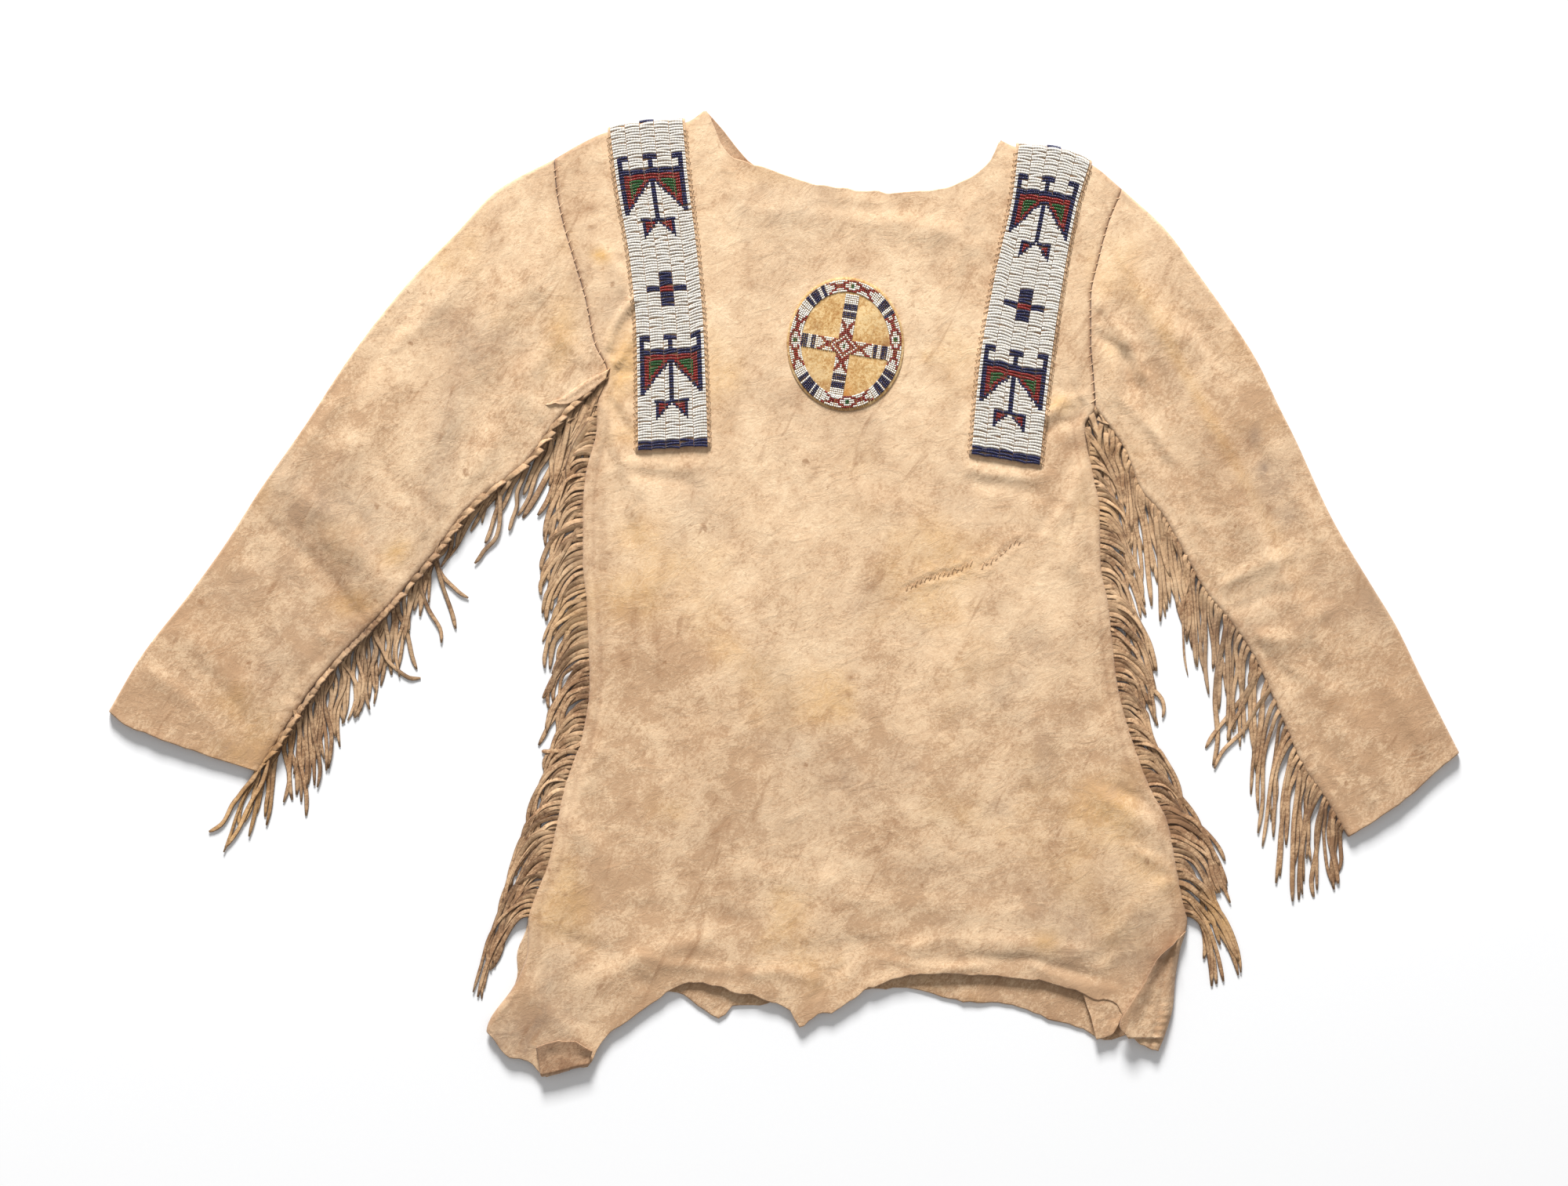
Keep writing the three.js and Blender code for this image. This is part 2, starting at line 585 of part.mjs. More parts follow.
// Seams that hold a fringe, walked from the underarm
const sideSeam = (edge, from, to) => (along) => {
  const y = lerp(from, to, along);
  return { x: edge(y), y };
};
function sleeveSeam(rows, from) {
  const walk = walkThrough(rows, 'seamX', 'seamY');
  return (along) => walk(lerp(from, fringeRun.sleeveEnd, along));
}
function outwardFrom(seam, side) {
  const step = 0.01;
  return (along) => {
    const before = seam(Math.max(along - step, 0));
    const after = seam(Math.min(along + step, 1));
    const run = Math.hypot(after.x - before.x, after.y - before.y);
    return { x: (-side * (after.y - before.y)) / run, y: (side * (after.x - before.x)) / run };
  };
}

const seams = {
  sideLeft: { seam: sideSeam(leftEdge, fringeRun.sideLeft, fringeRun.sideEnd), side: -1 },
  sideRight: { seam: sideSeam(rightEdge, fringeRun.sideRight, fringeRun.sideEnd), side: 1 },
  sleeveLeft: { seam: sleeveSeam(sleeveLeft, fringeRun.sleeveLeft), side: -1 },
  sleeveRight: { seam: sleeveSeam(sleeveRight, fringeRun.sleeveRight), side: -1 },
};

const shirt = new THREE.Group();
function place(name, geometry, color) {
  const mesh = new THREE.Mesh(geometry, leather(color));
  mesh.name = name;
  shirt.add(mesh);
}

place('back_panel', backGeometry(), colours.backHide);
place('front_panel', frontGeometry(), colours.hide);
place('sleeve_left', sleeveGeometry(sleeveLeft, cuffLeft, leftEdge, -1, foldsLeft), colours.hide);
place('sleeve_right', sleeveGeometry(sleeveRight, cuffRight, rightEdge, 1, foldsRight), colours.hide);
place('strip_left', stripGeometry(strips.left), colours.beads);
place('strip_right', stripGeometry(strips.right), colours.beads);
place('rosette', rosetteGeometry(), colours.beads);
Object.entries({
  fringe_side_left: 'sideLeft',
  fringe_side_right: 'sideRight',
  fringe_sleeve_left: 'sleeveLeft',
  fringe_sleeve_right: 'sleeveRight',
}).forEach(([name, key]) => {
  const { seam, side } = seams[key];
  place(name, fringeGeometry(fringes[key], seam, outwardFrom(seam, side)), colours.fringe);
});

export default shirt;
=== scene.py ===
"""Looks of a plains war shirt: tanned hide, fringed seams, beaded shoulder strips and a rosette."""

import logging
from collections.abc import Callable, Sequence
from dataclasses import dataclass
from enum import Enum, IntEnum

import bpy
import numpy as np
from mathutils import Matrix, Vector


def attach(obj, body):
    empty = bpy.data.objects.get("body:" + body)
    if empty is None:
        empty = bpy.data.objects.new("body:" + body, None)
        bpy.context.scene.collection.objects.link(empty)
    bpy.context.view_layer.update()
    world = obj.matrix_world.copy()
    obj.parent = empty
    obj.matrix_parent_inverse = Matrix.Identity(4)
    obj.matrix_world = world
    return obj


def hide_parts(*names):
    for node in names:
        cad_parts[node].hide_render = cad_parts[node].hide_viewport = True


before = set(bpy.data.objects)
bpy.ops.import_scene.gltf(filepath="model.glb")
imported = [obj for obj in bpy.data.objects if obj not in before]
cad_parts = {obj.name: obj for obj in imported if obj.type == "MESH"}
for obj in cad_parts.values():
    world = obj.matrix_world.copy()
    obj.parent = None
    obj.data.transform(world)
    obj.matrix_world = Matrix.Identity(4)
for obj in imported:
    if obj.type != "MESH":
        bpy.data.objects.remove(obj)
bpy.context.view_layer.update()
log = logging.getLogger("war_shirt")

Array = np.ndarray
Piece = bpy.types.Object
Material = bpy.types.Material
Socket = bpy.types.NodeSocket
Rows = Sequence[Sequence[float]]
Edge = Callable[[Array], tuple[Array, Array]]
# Points, faces, paint at each point and material of each face
BeadGroup = tuple[Array, Array, Array, Array]
MM = 0.001

# Levels of the layers above the surface, in millimetres
HIDE = 1.6
SEAM_GAP = 0.3
WELT_TOP = 3.1
FRONT_BASE = 3.4
FRONT_TOP = 5.0
FRONT_HIGHEST = 8.5
ABOVE_FLOOR = 0.02

# Other sizes, in millimetres
FOLD_RADIUS = FRONT_TOP / 2
PANEL_LENGTH = 620
SEWING_PITCH = 6.2

# Points in a bead's section, sides of a thong and points along a seam
BEAD_POINTS = 5
THONG_SIDES = 8
SEAM_POINTS = 33


class Side(IntEnum):
    """Which side of the shirt a piece is on, as seen from above."""

    LEFT = -1
    RIGHT = 1


class Bead(IntEnum):
    """Colours of the seed beads, numbered as their material slots."""

    WHITE = 0
    NAVY = 1
    RED = 2
    GREEN = 3


class Mark(IntEnum):
    """Kinds of mark on the hide, numbered as the channels that hold them."""

    BROWN = 0
    OCHRE = 1
    GREY = 2


class Slot(Enum):
    """Finishes that the record names."""

    HIDE = "hide"
    FRINGE = "fringe"
    BEADWORK = "beadwork"


# Curves, plans and noise


class SmoothCurve:
    """A smooth curve without overshoot through places and values."""

    def __init__(self, places: Sequence[float], values: Sequence[float]) -> None:
        """Sorts the places and works out the slope at each.

        Args:
            places: where the values hold.
            values: what the curve passes through.
        """
        order = np.argsort(places)
        self.at = np.asarray(places, float)[order]
        self.to = np.asarray(values, float)[order]
        slope = np.diff(self.to) / np.diff(self.at)
        before = np.concatenate([slope[:1], slope])
        after = np.concatenate([slope, slope[-1:]])
        turns = before * after <= 0
        self.tangent = np.where(turns, 0.0, 2 * before * after / np.where(turns, 1.0, before + after))

    def __call__(self, place: Array | float) -> Array:
        """Gives the curve's value at each place.

        Args:
            place: places to look up, held within the curve's ends.

        Returns:
            The values, in the shape of the places.
        """
        kept = np.clip(place, self.at[0], self.at[-1])
        index = np.clip(np.searchsorted(self.at, kept) - 1, 0, len(self.at) - 2)
        span = self.at[index + 1] - self.at[index]
        f = (kept - self.at[index]) / span
        rise = f * f * (3 - 2 * f)
        leave = self.tangent[index] * span * f * (1 - f) ** 2
        arrive = self.tangent[index + 1] * span * f * f * (1 - f)
        return self.to[index] + (self.to[index + 1] - self.to[index]) * rise + leave - arrive


def columns_curve(rows: Rows, along: int, value: int) -> SmoothCurve:
    """Smooth curve through two columns of a table."""
    return SmoothCurve([row[along] for row in rows], [row[value] for row in rows])


def walk(rows: Rows, x: int, y: int) -> Edge:
    """Walks a table from its first row to its last.

    Args:
        rows: the table.
        x: number of the column that holds x.
        y: number of the column that holds y.

    Returns:
        A function from fractions of the way to x and y.
    """
    steps = np.linspace(0, 1, len(rows))
    to_x = SmoothCurve(steps, [row[x] for row in rows])
    to_y = SmoothCurve(steps, [row[y] for row in rows])
    return lambda fraction: (to_x(fraction), to_y(fraction))


def mix(a: Array | float, b: Array | float, share: Array | float) -> Array:
    """Moves from a to b by a share."""
    return a + (b - a) * share


def ease(value: Array | float, low: float, high: float) -> Array:
    """Rises smoothly from 0 to 1 between two values."""
    f = np.clip((np.asarray(value, float) - low) / (high - low), 0, 1)
    return f * f * (3 - 2 * f)


def between(value: Array, low: float, high: float) -> Array:
    """Whether each value is at least the low one and less than the high one."""
    return (value >= low) & (value < high)


def paired(rows: Array, columns: Array) -> tuple[Array, Array]:
    """Two grids that hold each pair of a row's and a column's value."""
    return tuple(np.meshgrid(rows, columns, indexing="ij"))


def square_to(directions: Array) -> Array:
    """Directions in plan, turned a quarter to the left."""
    return np.stack([-directions[..., 1], directions[..., 0]], axis=-1)


def bell(away: Array, width: float) -> Array:
    """Falls smoothly from 1 at no distance."""
    return np.exp(-((away / width) ** 2))


def plan_patch(top: Edge, bottom: Edge, left: Edge, right: Edge, s: Array, t: Array,
               fade: float = 1) -> tuple[Array, Array]:
    """Fills the plan between four edges that share their corners.

    Args:
        top: edge at t = 0, walked by s.
        bottom: edge at t = 1, walked by s.
        left: edge at s = 0, walked by t.
        right: edge at s = 1, walked by t.
        s: fractions across.
        t: fractions down, in the same shape.
        fade: how soon the shape of each edge fades inwards, 1 for evenly.

    Returns:
        x and y in that shape.
    """
    ends, found = (np.zeros(1), np.ones(1)), []
    for axis in (0, 1):
        (a, b), (c, d) = ([edge(end)[axis] for end in ends] for edge in (top, bottom))
        place = mix(mix(a, b, s), mix(c, d, s), t)
        place = place + (top(s)[axis] - mix(a, b, s)) * (1 - t) ** fade
        place = place + (bottom(s)[axis] - mix(c, d, s)) * t**fade
        place = place + (left(t)[axis] - mix(a, c, t)) * (1 - s) ** fade
        place = place + (right(t)[axis] - mix(b, d, t)) * s**fade
        found.append(place)
    return found[0], found[1]


def lattice(x: Array, y: Array, cell: float, seed: int) -> Array:
    """Smooth random values between -1 and 1 on a square lattice.

    Args:
        x: places along x in millimetres.
        y: places along y.
        cell: size of a cell of the lattice.
        seed: which pattern.

    Returns:
        The values, in the shape of the places.
    """
    u, v = np.broadcast_arrays(np.asarray(x, float) / cell, np.asarray(y, float) / cell)
    iu, iv = np.floor(u).astype(np.int64), np.floor(v).astype(np.int64)
    fu, fv = u - iu, v - iv
    su, sv = fu * fu * (3 - 2 * fu), fv * fv * (3 - 2 * fv)

    def corner(a: Array, b: Array) -> Array:
        """Random value of a corner of the lattice.

        Args:
            a: number along x.
            b: number along y.

        Returns:
            Values between -1 and 1.
        """
        mixed = (a * 374761393 + b * 668265263 + seed * 97531) & 0xFFFFFFFF
        mixed = ((mixed ^ (mixed >> 13)) * 1274126177) & 0xFFFFFFFF
        return ((mixed ^ (mixed >> 16)) & 0xFFFF) / 32767.5 - 1

    low = mix(corner(iu, iv), corner(iu + 1, iv), su)
    high = mix(corner(iu, iv + 1), corner(iu + 1, iv + 1), su)
    return mix(low, high, sv)


def ripple(along: Array, cell: float, seed: int) -> Array:
    """Smooth random values between -1 and 1 along a line."""
    return lattice(along, 0 * along, cell, seed)


def layered(x: Array, y: Array, cell: float, seed: int, layers: int = 3) -> Array:
    """Random values with finer and weaker layers added.

    Args:
        x: places along x in millimetres.
        y: places along y.
        cell: size of the coarsest cell.
        seed: which pattern.
        layers: number of layers, each half as coarse and half as strong.

    Returns:
        The values, about -1 to 1.
    """
    total = np.zeros(np.broadcast(x, y).shape)
    for layer in range(layers):
        total = total + lattice(x, y, cell / 2**layer, seed + 17 * layer) / 2**layer
    return total / 1.6


def edge_spacing(count: int, near: Sequence[float]) -> Array:
    """Fractions from 0 to 1, evenly spread, with more of them near both ends.

    Args:
        count: number of even spans.
        near: extra fractions close to 0, which are mirrored at 1.

    Returns:
        The sorted fractions.
    """
    extra = np.asarray(near, float)
    return np.unique(np.concatenate([np.linspace(0, 1, count + 1), extra, 1 - extra]).round(6))


# Meshes


def new_piece(name: str, points: Array, faces: Sequence[Array]) -> Piece:
    """Makes a mesh object at the origin.

    Args:
        name: name of the piece.
        points: its points in millimetres, one a row.
        faces: groups of faces, each an array with a face a row.

    Returns:
        The object, riding on the shirt's body.
    """
    mesh = bpy.data.meshes.new(name)
    corners = np.concatenate([group.ravel() for group in faces]).astype(np.int32)
    sizes = np.concatenate([np.full(len(group), group.shape[1]) for group in faces])
    starts = np.concatenate([[0], np.cumsum(sizes)[:-1]]).astype(np.int32)
    mesh.vertices.add(len(points))
    mesh.vertices.foreach_set("co", (np.asarray(points, float) * MM).astype(np.float32).ravel())
    mesh.loops.add(len(corners))
    mesh.loops.foreach_set("vertex_index", corners)
    mesh.polygons.add(len(sizes))
    mesh.polygons.foreach_set("loop_start", starts)
    mesh.polygons.foreach_set("use_smooth", np.full(len(sizes), True))
    mesh.update(calc_edges=True)
    mesh.validate()
    piece = bpy.data.objects.new(name, mesh)
    bpy.context.scene.collection.objects.link(piece)
    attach(piece, "root")
    return piece


def grid_quads(rows: int, columns: int, offset: int = 0) -> Array:
    """Faces of a grid of points stored row by row.

    Args:
        rows: number of rows of points.
        columns: number of points in a row.
        offset: number of the first point.

    Returns:
        Four corners for each face.
    """
    a = (np.arange(rows - 1)[:, None] * columns + np.arange(columns - 1)[None, :]).ravel() + offset
    return np.stack([a, a + 1, a + columns + 1, a + columns], axis=1)


def facing_out(points: Array, quads: Array) -> Array:
    """Turns the faces of a closed shell round when they enclose a negative volume.

    Args:
        points: the shell's points.
        quads: its faces.

    Returns:
        The faces, pointing out.
    """
    a, b, c, d = (points[quads[:, corner]] for corner in range(4))
    volume = np.einsum("ij,ij->", a, np.cross(b, c)) + np.einsum("ij,ij->", a, np.cross(c, d))
    return quads if volume > 0 else quads[:, ::-1]


def shell(name: str, outer: Array, inner: Array, bulge: float = 0.35) -> Piece:
    """Makes a closed wall of hide between two grids, with a rounded cut edge.

    Args:
        name: name of the piece.
        outer: grid of points in millimetres, rows by columns by 3.
        inner: grid of the other face.
        bulge: how far the cut edge stands out.

    Returns:
        The object. Its points are the outer grid, the inner grid and then the rim.
    """
    rows, columns = outer.shape[:2]
    half = rows * columns
    number = np.arange(half).reshape(rows, columns)
    loop = np.concatenate([number[0, :-1], number[:-1, -1], number[-1, :0:-1], number[:0:-1, 0]])
    beside_grid = number.copy()
    beside_grid[0, :] = number[1, :]
    beside_grid[-1, :] = number[-2, :]
    beside_grid[1:-1, 0] = number[1:-1, 1]
    beside_grid[1:-1, -1] = number[1:-1, -2]
    flat_outer, flat_inner = outer.reshape(-1, 3), inner.reshape(-1, 3)
    away = flat_outer[loop] - flat_outer[beside_grid.ravel()[loop]]
    away /= np.maximum(np.linalg.norm(away, axis=1, keepdims=True), 1e-6)
    rim = (flat_outer[loop] + flat_inner[loop]) / 2 + bulge * away
    points = np.concatenate([flat_outer, flat_inner, rim])
    following = np.roll(loop, -1)
    middle = 2 * half + np.arange(len(loop))
    middle_next = np.roll(middle, -1)
    upper = grid_quads(rows, columns)
    quads = np.concatenate([
        upper,
        upper[:, ::-1] + half,
        np.stack([following, loop, middle, middle_next], axis=1),
        np.stack([middle_next, middle, loop + half, following + half], axis=1),
    ])
    return new_piece(name, points, [facing_out(points, quads)])


def tubes(name: str, paths: Array, widths: Array, thick: Array, rolls: Array,
          sides: int = THONG_SIDES) -> Piece:
    """Makes many flat or round bars along paths of the same number of stations.

    Args:
        name: name of the piece.
        paths: bars by stations by 3, in millimetres.
        widths: width of each bar at each station.
        thick: thickness of each bar at each station.
        rolls: turn of each section about its path, in radians.
        sides: sides of a section.

    Returns:
        The object, all bars joined in one mesh with closed ends.
    """
    bars, stations = paths.shape[:2]
    along = np.gradient(paths, axis=1)
    along /= np.maximum(np.linalg.norm(along, axis=2, keepdims=True), 1e-6)
    across = np.cross(np.array([0.0, 0.0, 1.0]), along)
    across /= np.maximum(np.linalg.norm(across, axis=2, keepdims=True), 1e-6)
    up = np.cross(along, across)
    angles = 2 * np.pi * (np.arange(sides) + 0.5) / sides
    boxy_x = np.sign(np.cos(angles)) * np.abs(np.cos(angles)) ** 0.6
    boxy_z = np.sign(np.sin(angles)) * np.abs(np.sin(angles)) ** 0.6
    flat_x = boxy_x[None, None, :] * widths[:, :, None] / 2
    flat_z = boxy_z[None, None, :] * thick[:, :, None] / 2
    cos_roll, sin_roll = np.cos(rolls)[:, :, None], np.sin(rolls)[:, :, None]
    over = flat_x * cos_roll - flat_z * sin_roll
    rise = flat_x * sin_roll + flat_z * cos_roll
    rings = paths[:, :, None, :] + over[..., None] * across[:, :, None, :]
    rings = rings + rise[..., None] * up[:, :, None, :]
    base = (np.arange(bars) * stations * sides)[:, None, None]
    station = (np.arange(stations - 1) * sides)[None, :, None]
    corner = np.arange(sides)[None, None, :]
    after = (corner + 1) % sides
    quads = np.stack(
        np.broadcast_arrays(
            base + station + corner,
            base + station + after,
            base + station + sides + after,
            base + station + sides + corner,
        ),
        axis=-1,
    ).reshape(-1, 4)
    first = base[:, 0] + np.arange(sides)[None, ::-1]
    last = base[:, 0] + (stations - 1) * sides + np.arange(sides)[None, :]
    return new_piece(name, rings.reshape(-1, 3), [quads, np.concatenate([first, last])])


def paint(piece: Piece, name: str, values: Array) -> None:
    """Stores up to three numbers at each point of a piece, for its finish to read.

    Args:
        piece: the piece.
        name: name that the finish reads.
        values: points by 3, from 0 to 1.
    """
    held = np.ones((len(values), 4), np.float32)
    held[:, :3] = values
    kept = piece.data.color_attributes.new(name=name, type="FLOAT_COLOR", domain="POINT")
    kept.data.foreach_set("color", held.ravel())


def points_of(piece: Piece) -> Array:
    """Points of a piece in millimetres, one a row.

    Args:
        piece: the piece.

    Returns:
        A point a row.
    """
    found = np.empty(len(piece.data.vertices) * 3, np.float32)
    piece.data.vertices.foreach_get("co", found)
    return found.reshape(-1, 3).astype(float) / MM


# Finishes


class NodeTree:
    """Nodes of one material, added from code."""

    def __init__(self, name: str) -> None:
        """Starts a material with only its shader and output.

        Args:
            name: name of the material.
        """
        self.material = bpy.data.materials.new(name)
        self.material.use_nodes = True
        self.tree = self.material.node_tree
        self.tree.nodes.clear()
        self.shader = self.add("ShaderNodeBsdfPrincipled")
        output = self.add("ShaderNodeOutputMaterial")
        self.link(self.shader.outputs["BSDF"], output.inputs["Surface"])
        self.places = self.add("ShaderNodeTexCoord").outputs["Object"]

    def add(self, kind: str, **settings: object) -> bpy.types.Node:
        """Adds a node and sets its properties.

        Args:
            kind: type of the node.
            settings: its properties.

        Returns:
            The node.
        """
        node = self.tree.nodes.new(kind)
        for name, value in settings.items():
            setattr(node, name, value)
        return node

    def link(self, source: Socket, target: Socket) -> None:
        """Links two sockets."""
        self.tree.links.new(source, target)

    def feed(self, socket: Socket, value: object) -> None:
        """Sets a socket to a number or colour, or links it to another socket.

        Args:
            socket: the socket.
            value: what it gets.
        """
        if isinstance(value, Socket):
            self.link(value, socket)
        else:
            socket.default_value = value

    def noise(self, scale: float, detail: float = 4, rough: float = 0.55, warp: float = 0,
              places: Socket | None = None) -> Socket:
        """Adds a noise pattern.

        Args:
            scale: cycles in a metre.
            detail: number of finer layers.
            rough: strength of the finer layers.
            warp: how far the pattern is distorted.
            places: where it is read, the object's own places by default.

        Returns:
            Its value socket.
        """
        node = self.add("ShaderNodeTexNoise")
        self.link(places or self.places, node.inputs["Vector"])
        for name, value in (("Scale", scale), ("Detail", detail), ("Roughness", rough), ("Distortion", warp)):
            node.inputs[name].default_value = value
        return node.outputs["Fac"]

    def cells(self, scale: float) -> Socket:
        """Adds a cell pattern and gives its distance socket.

        Args:
            scale: cells in a metre.

        Returns:
            Its distance socket.
        """
        node = self.add("ShaderNodeTexVoronoi", feature="F1")
        self.link(self.places, node.inputs["Vector"])
        node.inputs["Scale"].default_value = scale
        return node.outputs["Distance"]

    def stretched(self, angle: float, along: float, across: float) -> Socket:
        """Turns and stretches the places, so that a pattern runs in one direction.

        Args:
            angle: direction in radians from x.
            along: factor along that direction.
            across: factor across it.

        Returns:
            The new places.
        """
        turned = self.add("ShaderNodeMapping", vector_type="POINT")
        self.link(self.places, turned.inputs["Vector"])
        turned.inputs["Rotation"].default_value = (0, 0, -angle)
        turned.inputs["Scale"].default_value = (1, 1, 1)
        scaled = self.add("ShaderNodeMapping", vector_type="POINT")
        self.link(turned.outputs["Vector"], scaled.inputs["Vector"])
        scaled.inputs["Scale"].default_value = (along, across, 1)
        return scaled.outputs["Vector"]

    def math(self, kind: str, a: object, b: object = 0.0, clamp: bool = False) -> Socket:
        """Adds a sum, product or other operation on two values.

        Args:
            kind: the operation.
            a: first value.
            b: second value.
            clamp: whether the outcome is held from 0 to 1.

        Returns:
            The outcome.
        """
        node = self.add("ShaderNodeMath", operation=kind, use_clamp=clamp)
        self.feed(node.inputs[0], a)
        self.feed(node.inputs[1], b)
        return node.outputs[0]

    def plus(self, a: object, b: object, clamp: bool = False) -> Socket:
        """Adds two values."""
        return self.math("ADD", a, b, clamp)

    def times(self, a: object, b: object, clamp: bool = False) -> Socket:
        """Multiplies two values."""
        return self.math("MULTIPLY", a, b, clamp)

    def most(self, a: object, b: object) -> Socket:
        """The larger of two values."""
        return self.math("MAXIMUM", a, b)

    def off_middle(self, value: object) -> Socket:
        """How far a pattern is from its middle value, which draws thin winding lines."""
        return self.math("ABSOLUTE", self.math("SUBTRACT", value, 0.5))

    def swing(self, value: object, by: float) -> Socket:
        """Turns a pattern into a number between minus and plus the given one."""
        return self.window(value, 0.3, 0.7, -by, by)

    def give(self, **inputs: object) -> None:
        """Sets or links inputs of the shader, with underscores for the spaces in their names."""
        for name, value in inputs.items():
            self.feed(self.shader.inputs[name.replace("_", " ")], value)

    def window(self, value: object, low: float, high: float, to_low: float = 0, to_high: float = 1) -> Socket:
        """Rises smoothly from one output to another as the value passes a window.

        Args:
            value: the value.
            low: start of the window.
            high: its end.
            to_low: output at the start.
            to_high: output at the end.

        Returns:
            The output.
        """
        node = self.add("ShaderNodeMapRange", interpolation_type="SMOOTHSTEP")
        self.feed(node.inputs["Value"], value)
        for name, number in (("From Min", low), ("From Max", high), ("To Min", to_low), ("To Max", to_high)):
            node.inputs[name].default_value = number
        return node.outputs["Result"]

    def blend(self, share: object, a: object, b: object, kind: str = "MIX") -> Socket:
        """Mixes two colours.

        Args:
            share: how much of the second.
            a: first colour.
            b: second colour.
            kind: way of mixing.

        Returns:
            The mixed colour's socket.
        """
        node = self.add("ShaderNodeMix", data_type="RGBA", blend_type=kind)
        self.feed(node.inputs[0], share)
        self.feed(node.inputs[6], a)
        self.feed(node.inputs[7], b)
        return node.outputs[2]

    def channels(self, name: str) -> list[Socket]:
        """Three numbers stored at the points under a name.

        Args:
            name: the name.

        Returns:
            The three numbers.
        """
        node = self.add("ShaderNodeVertexColor", layer_name=name)
        parted = self.add("ShaderNodeSeparateColor")
        self.link(node.outputs["Color"], parted.inputs["Color"])
        return [parted.outputs[channel] for channel in ("Red", "Green", "Blue")]

    def relief(self, height: Socket, depth: float, strength: float = 1.0,
               under: Socket | None = None) -> Socket:
        """Adds a bump of a depth in metres on top of another.

        Args:
            height: the pattern.
            depth: depth in metres.
            strength: how strongly it shows.
            under: the bump below it.

        Returns:
            The normal.
        """
        node = self.add("ShaderNodeBump")
        node.inputs["Strength"].default_value = strength
        node.inputs["Distance"].default_value = depth
        self.link(height, node.inputs["Height"])
        if under is not None:
            self.link(under, node.inputs["Normal"])
        return node.outputs["Normal"]


def tone(red: int, green: int, blue: int) -> tuple[float, float, float, float]:
    """Linear colour of a tone given from 0 to 255.

    Args:
        red: red part.
        green: green part.
        blue: blue part.

    Returns:
        The colour with full alpha.
    """
    values = [value / 255 for value in (red, green, blue)]
    linear = [value / 12.92 if value <= 0.04045 else ((value + 0.055) / 1.055) ** 2.4 for value in values]
    return linear[0], linear[1], linear[2], 1.0


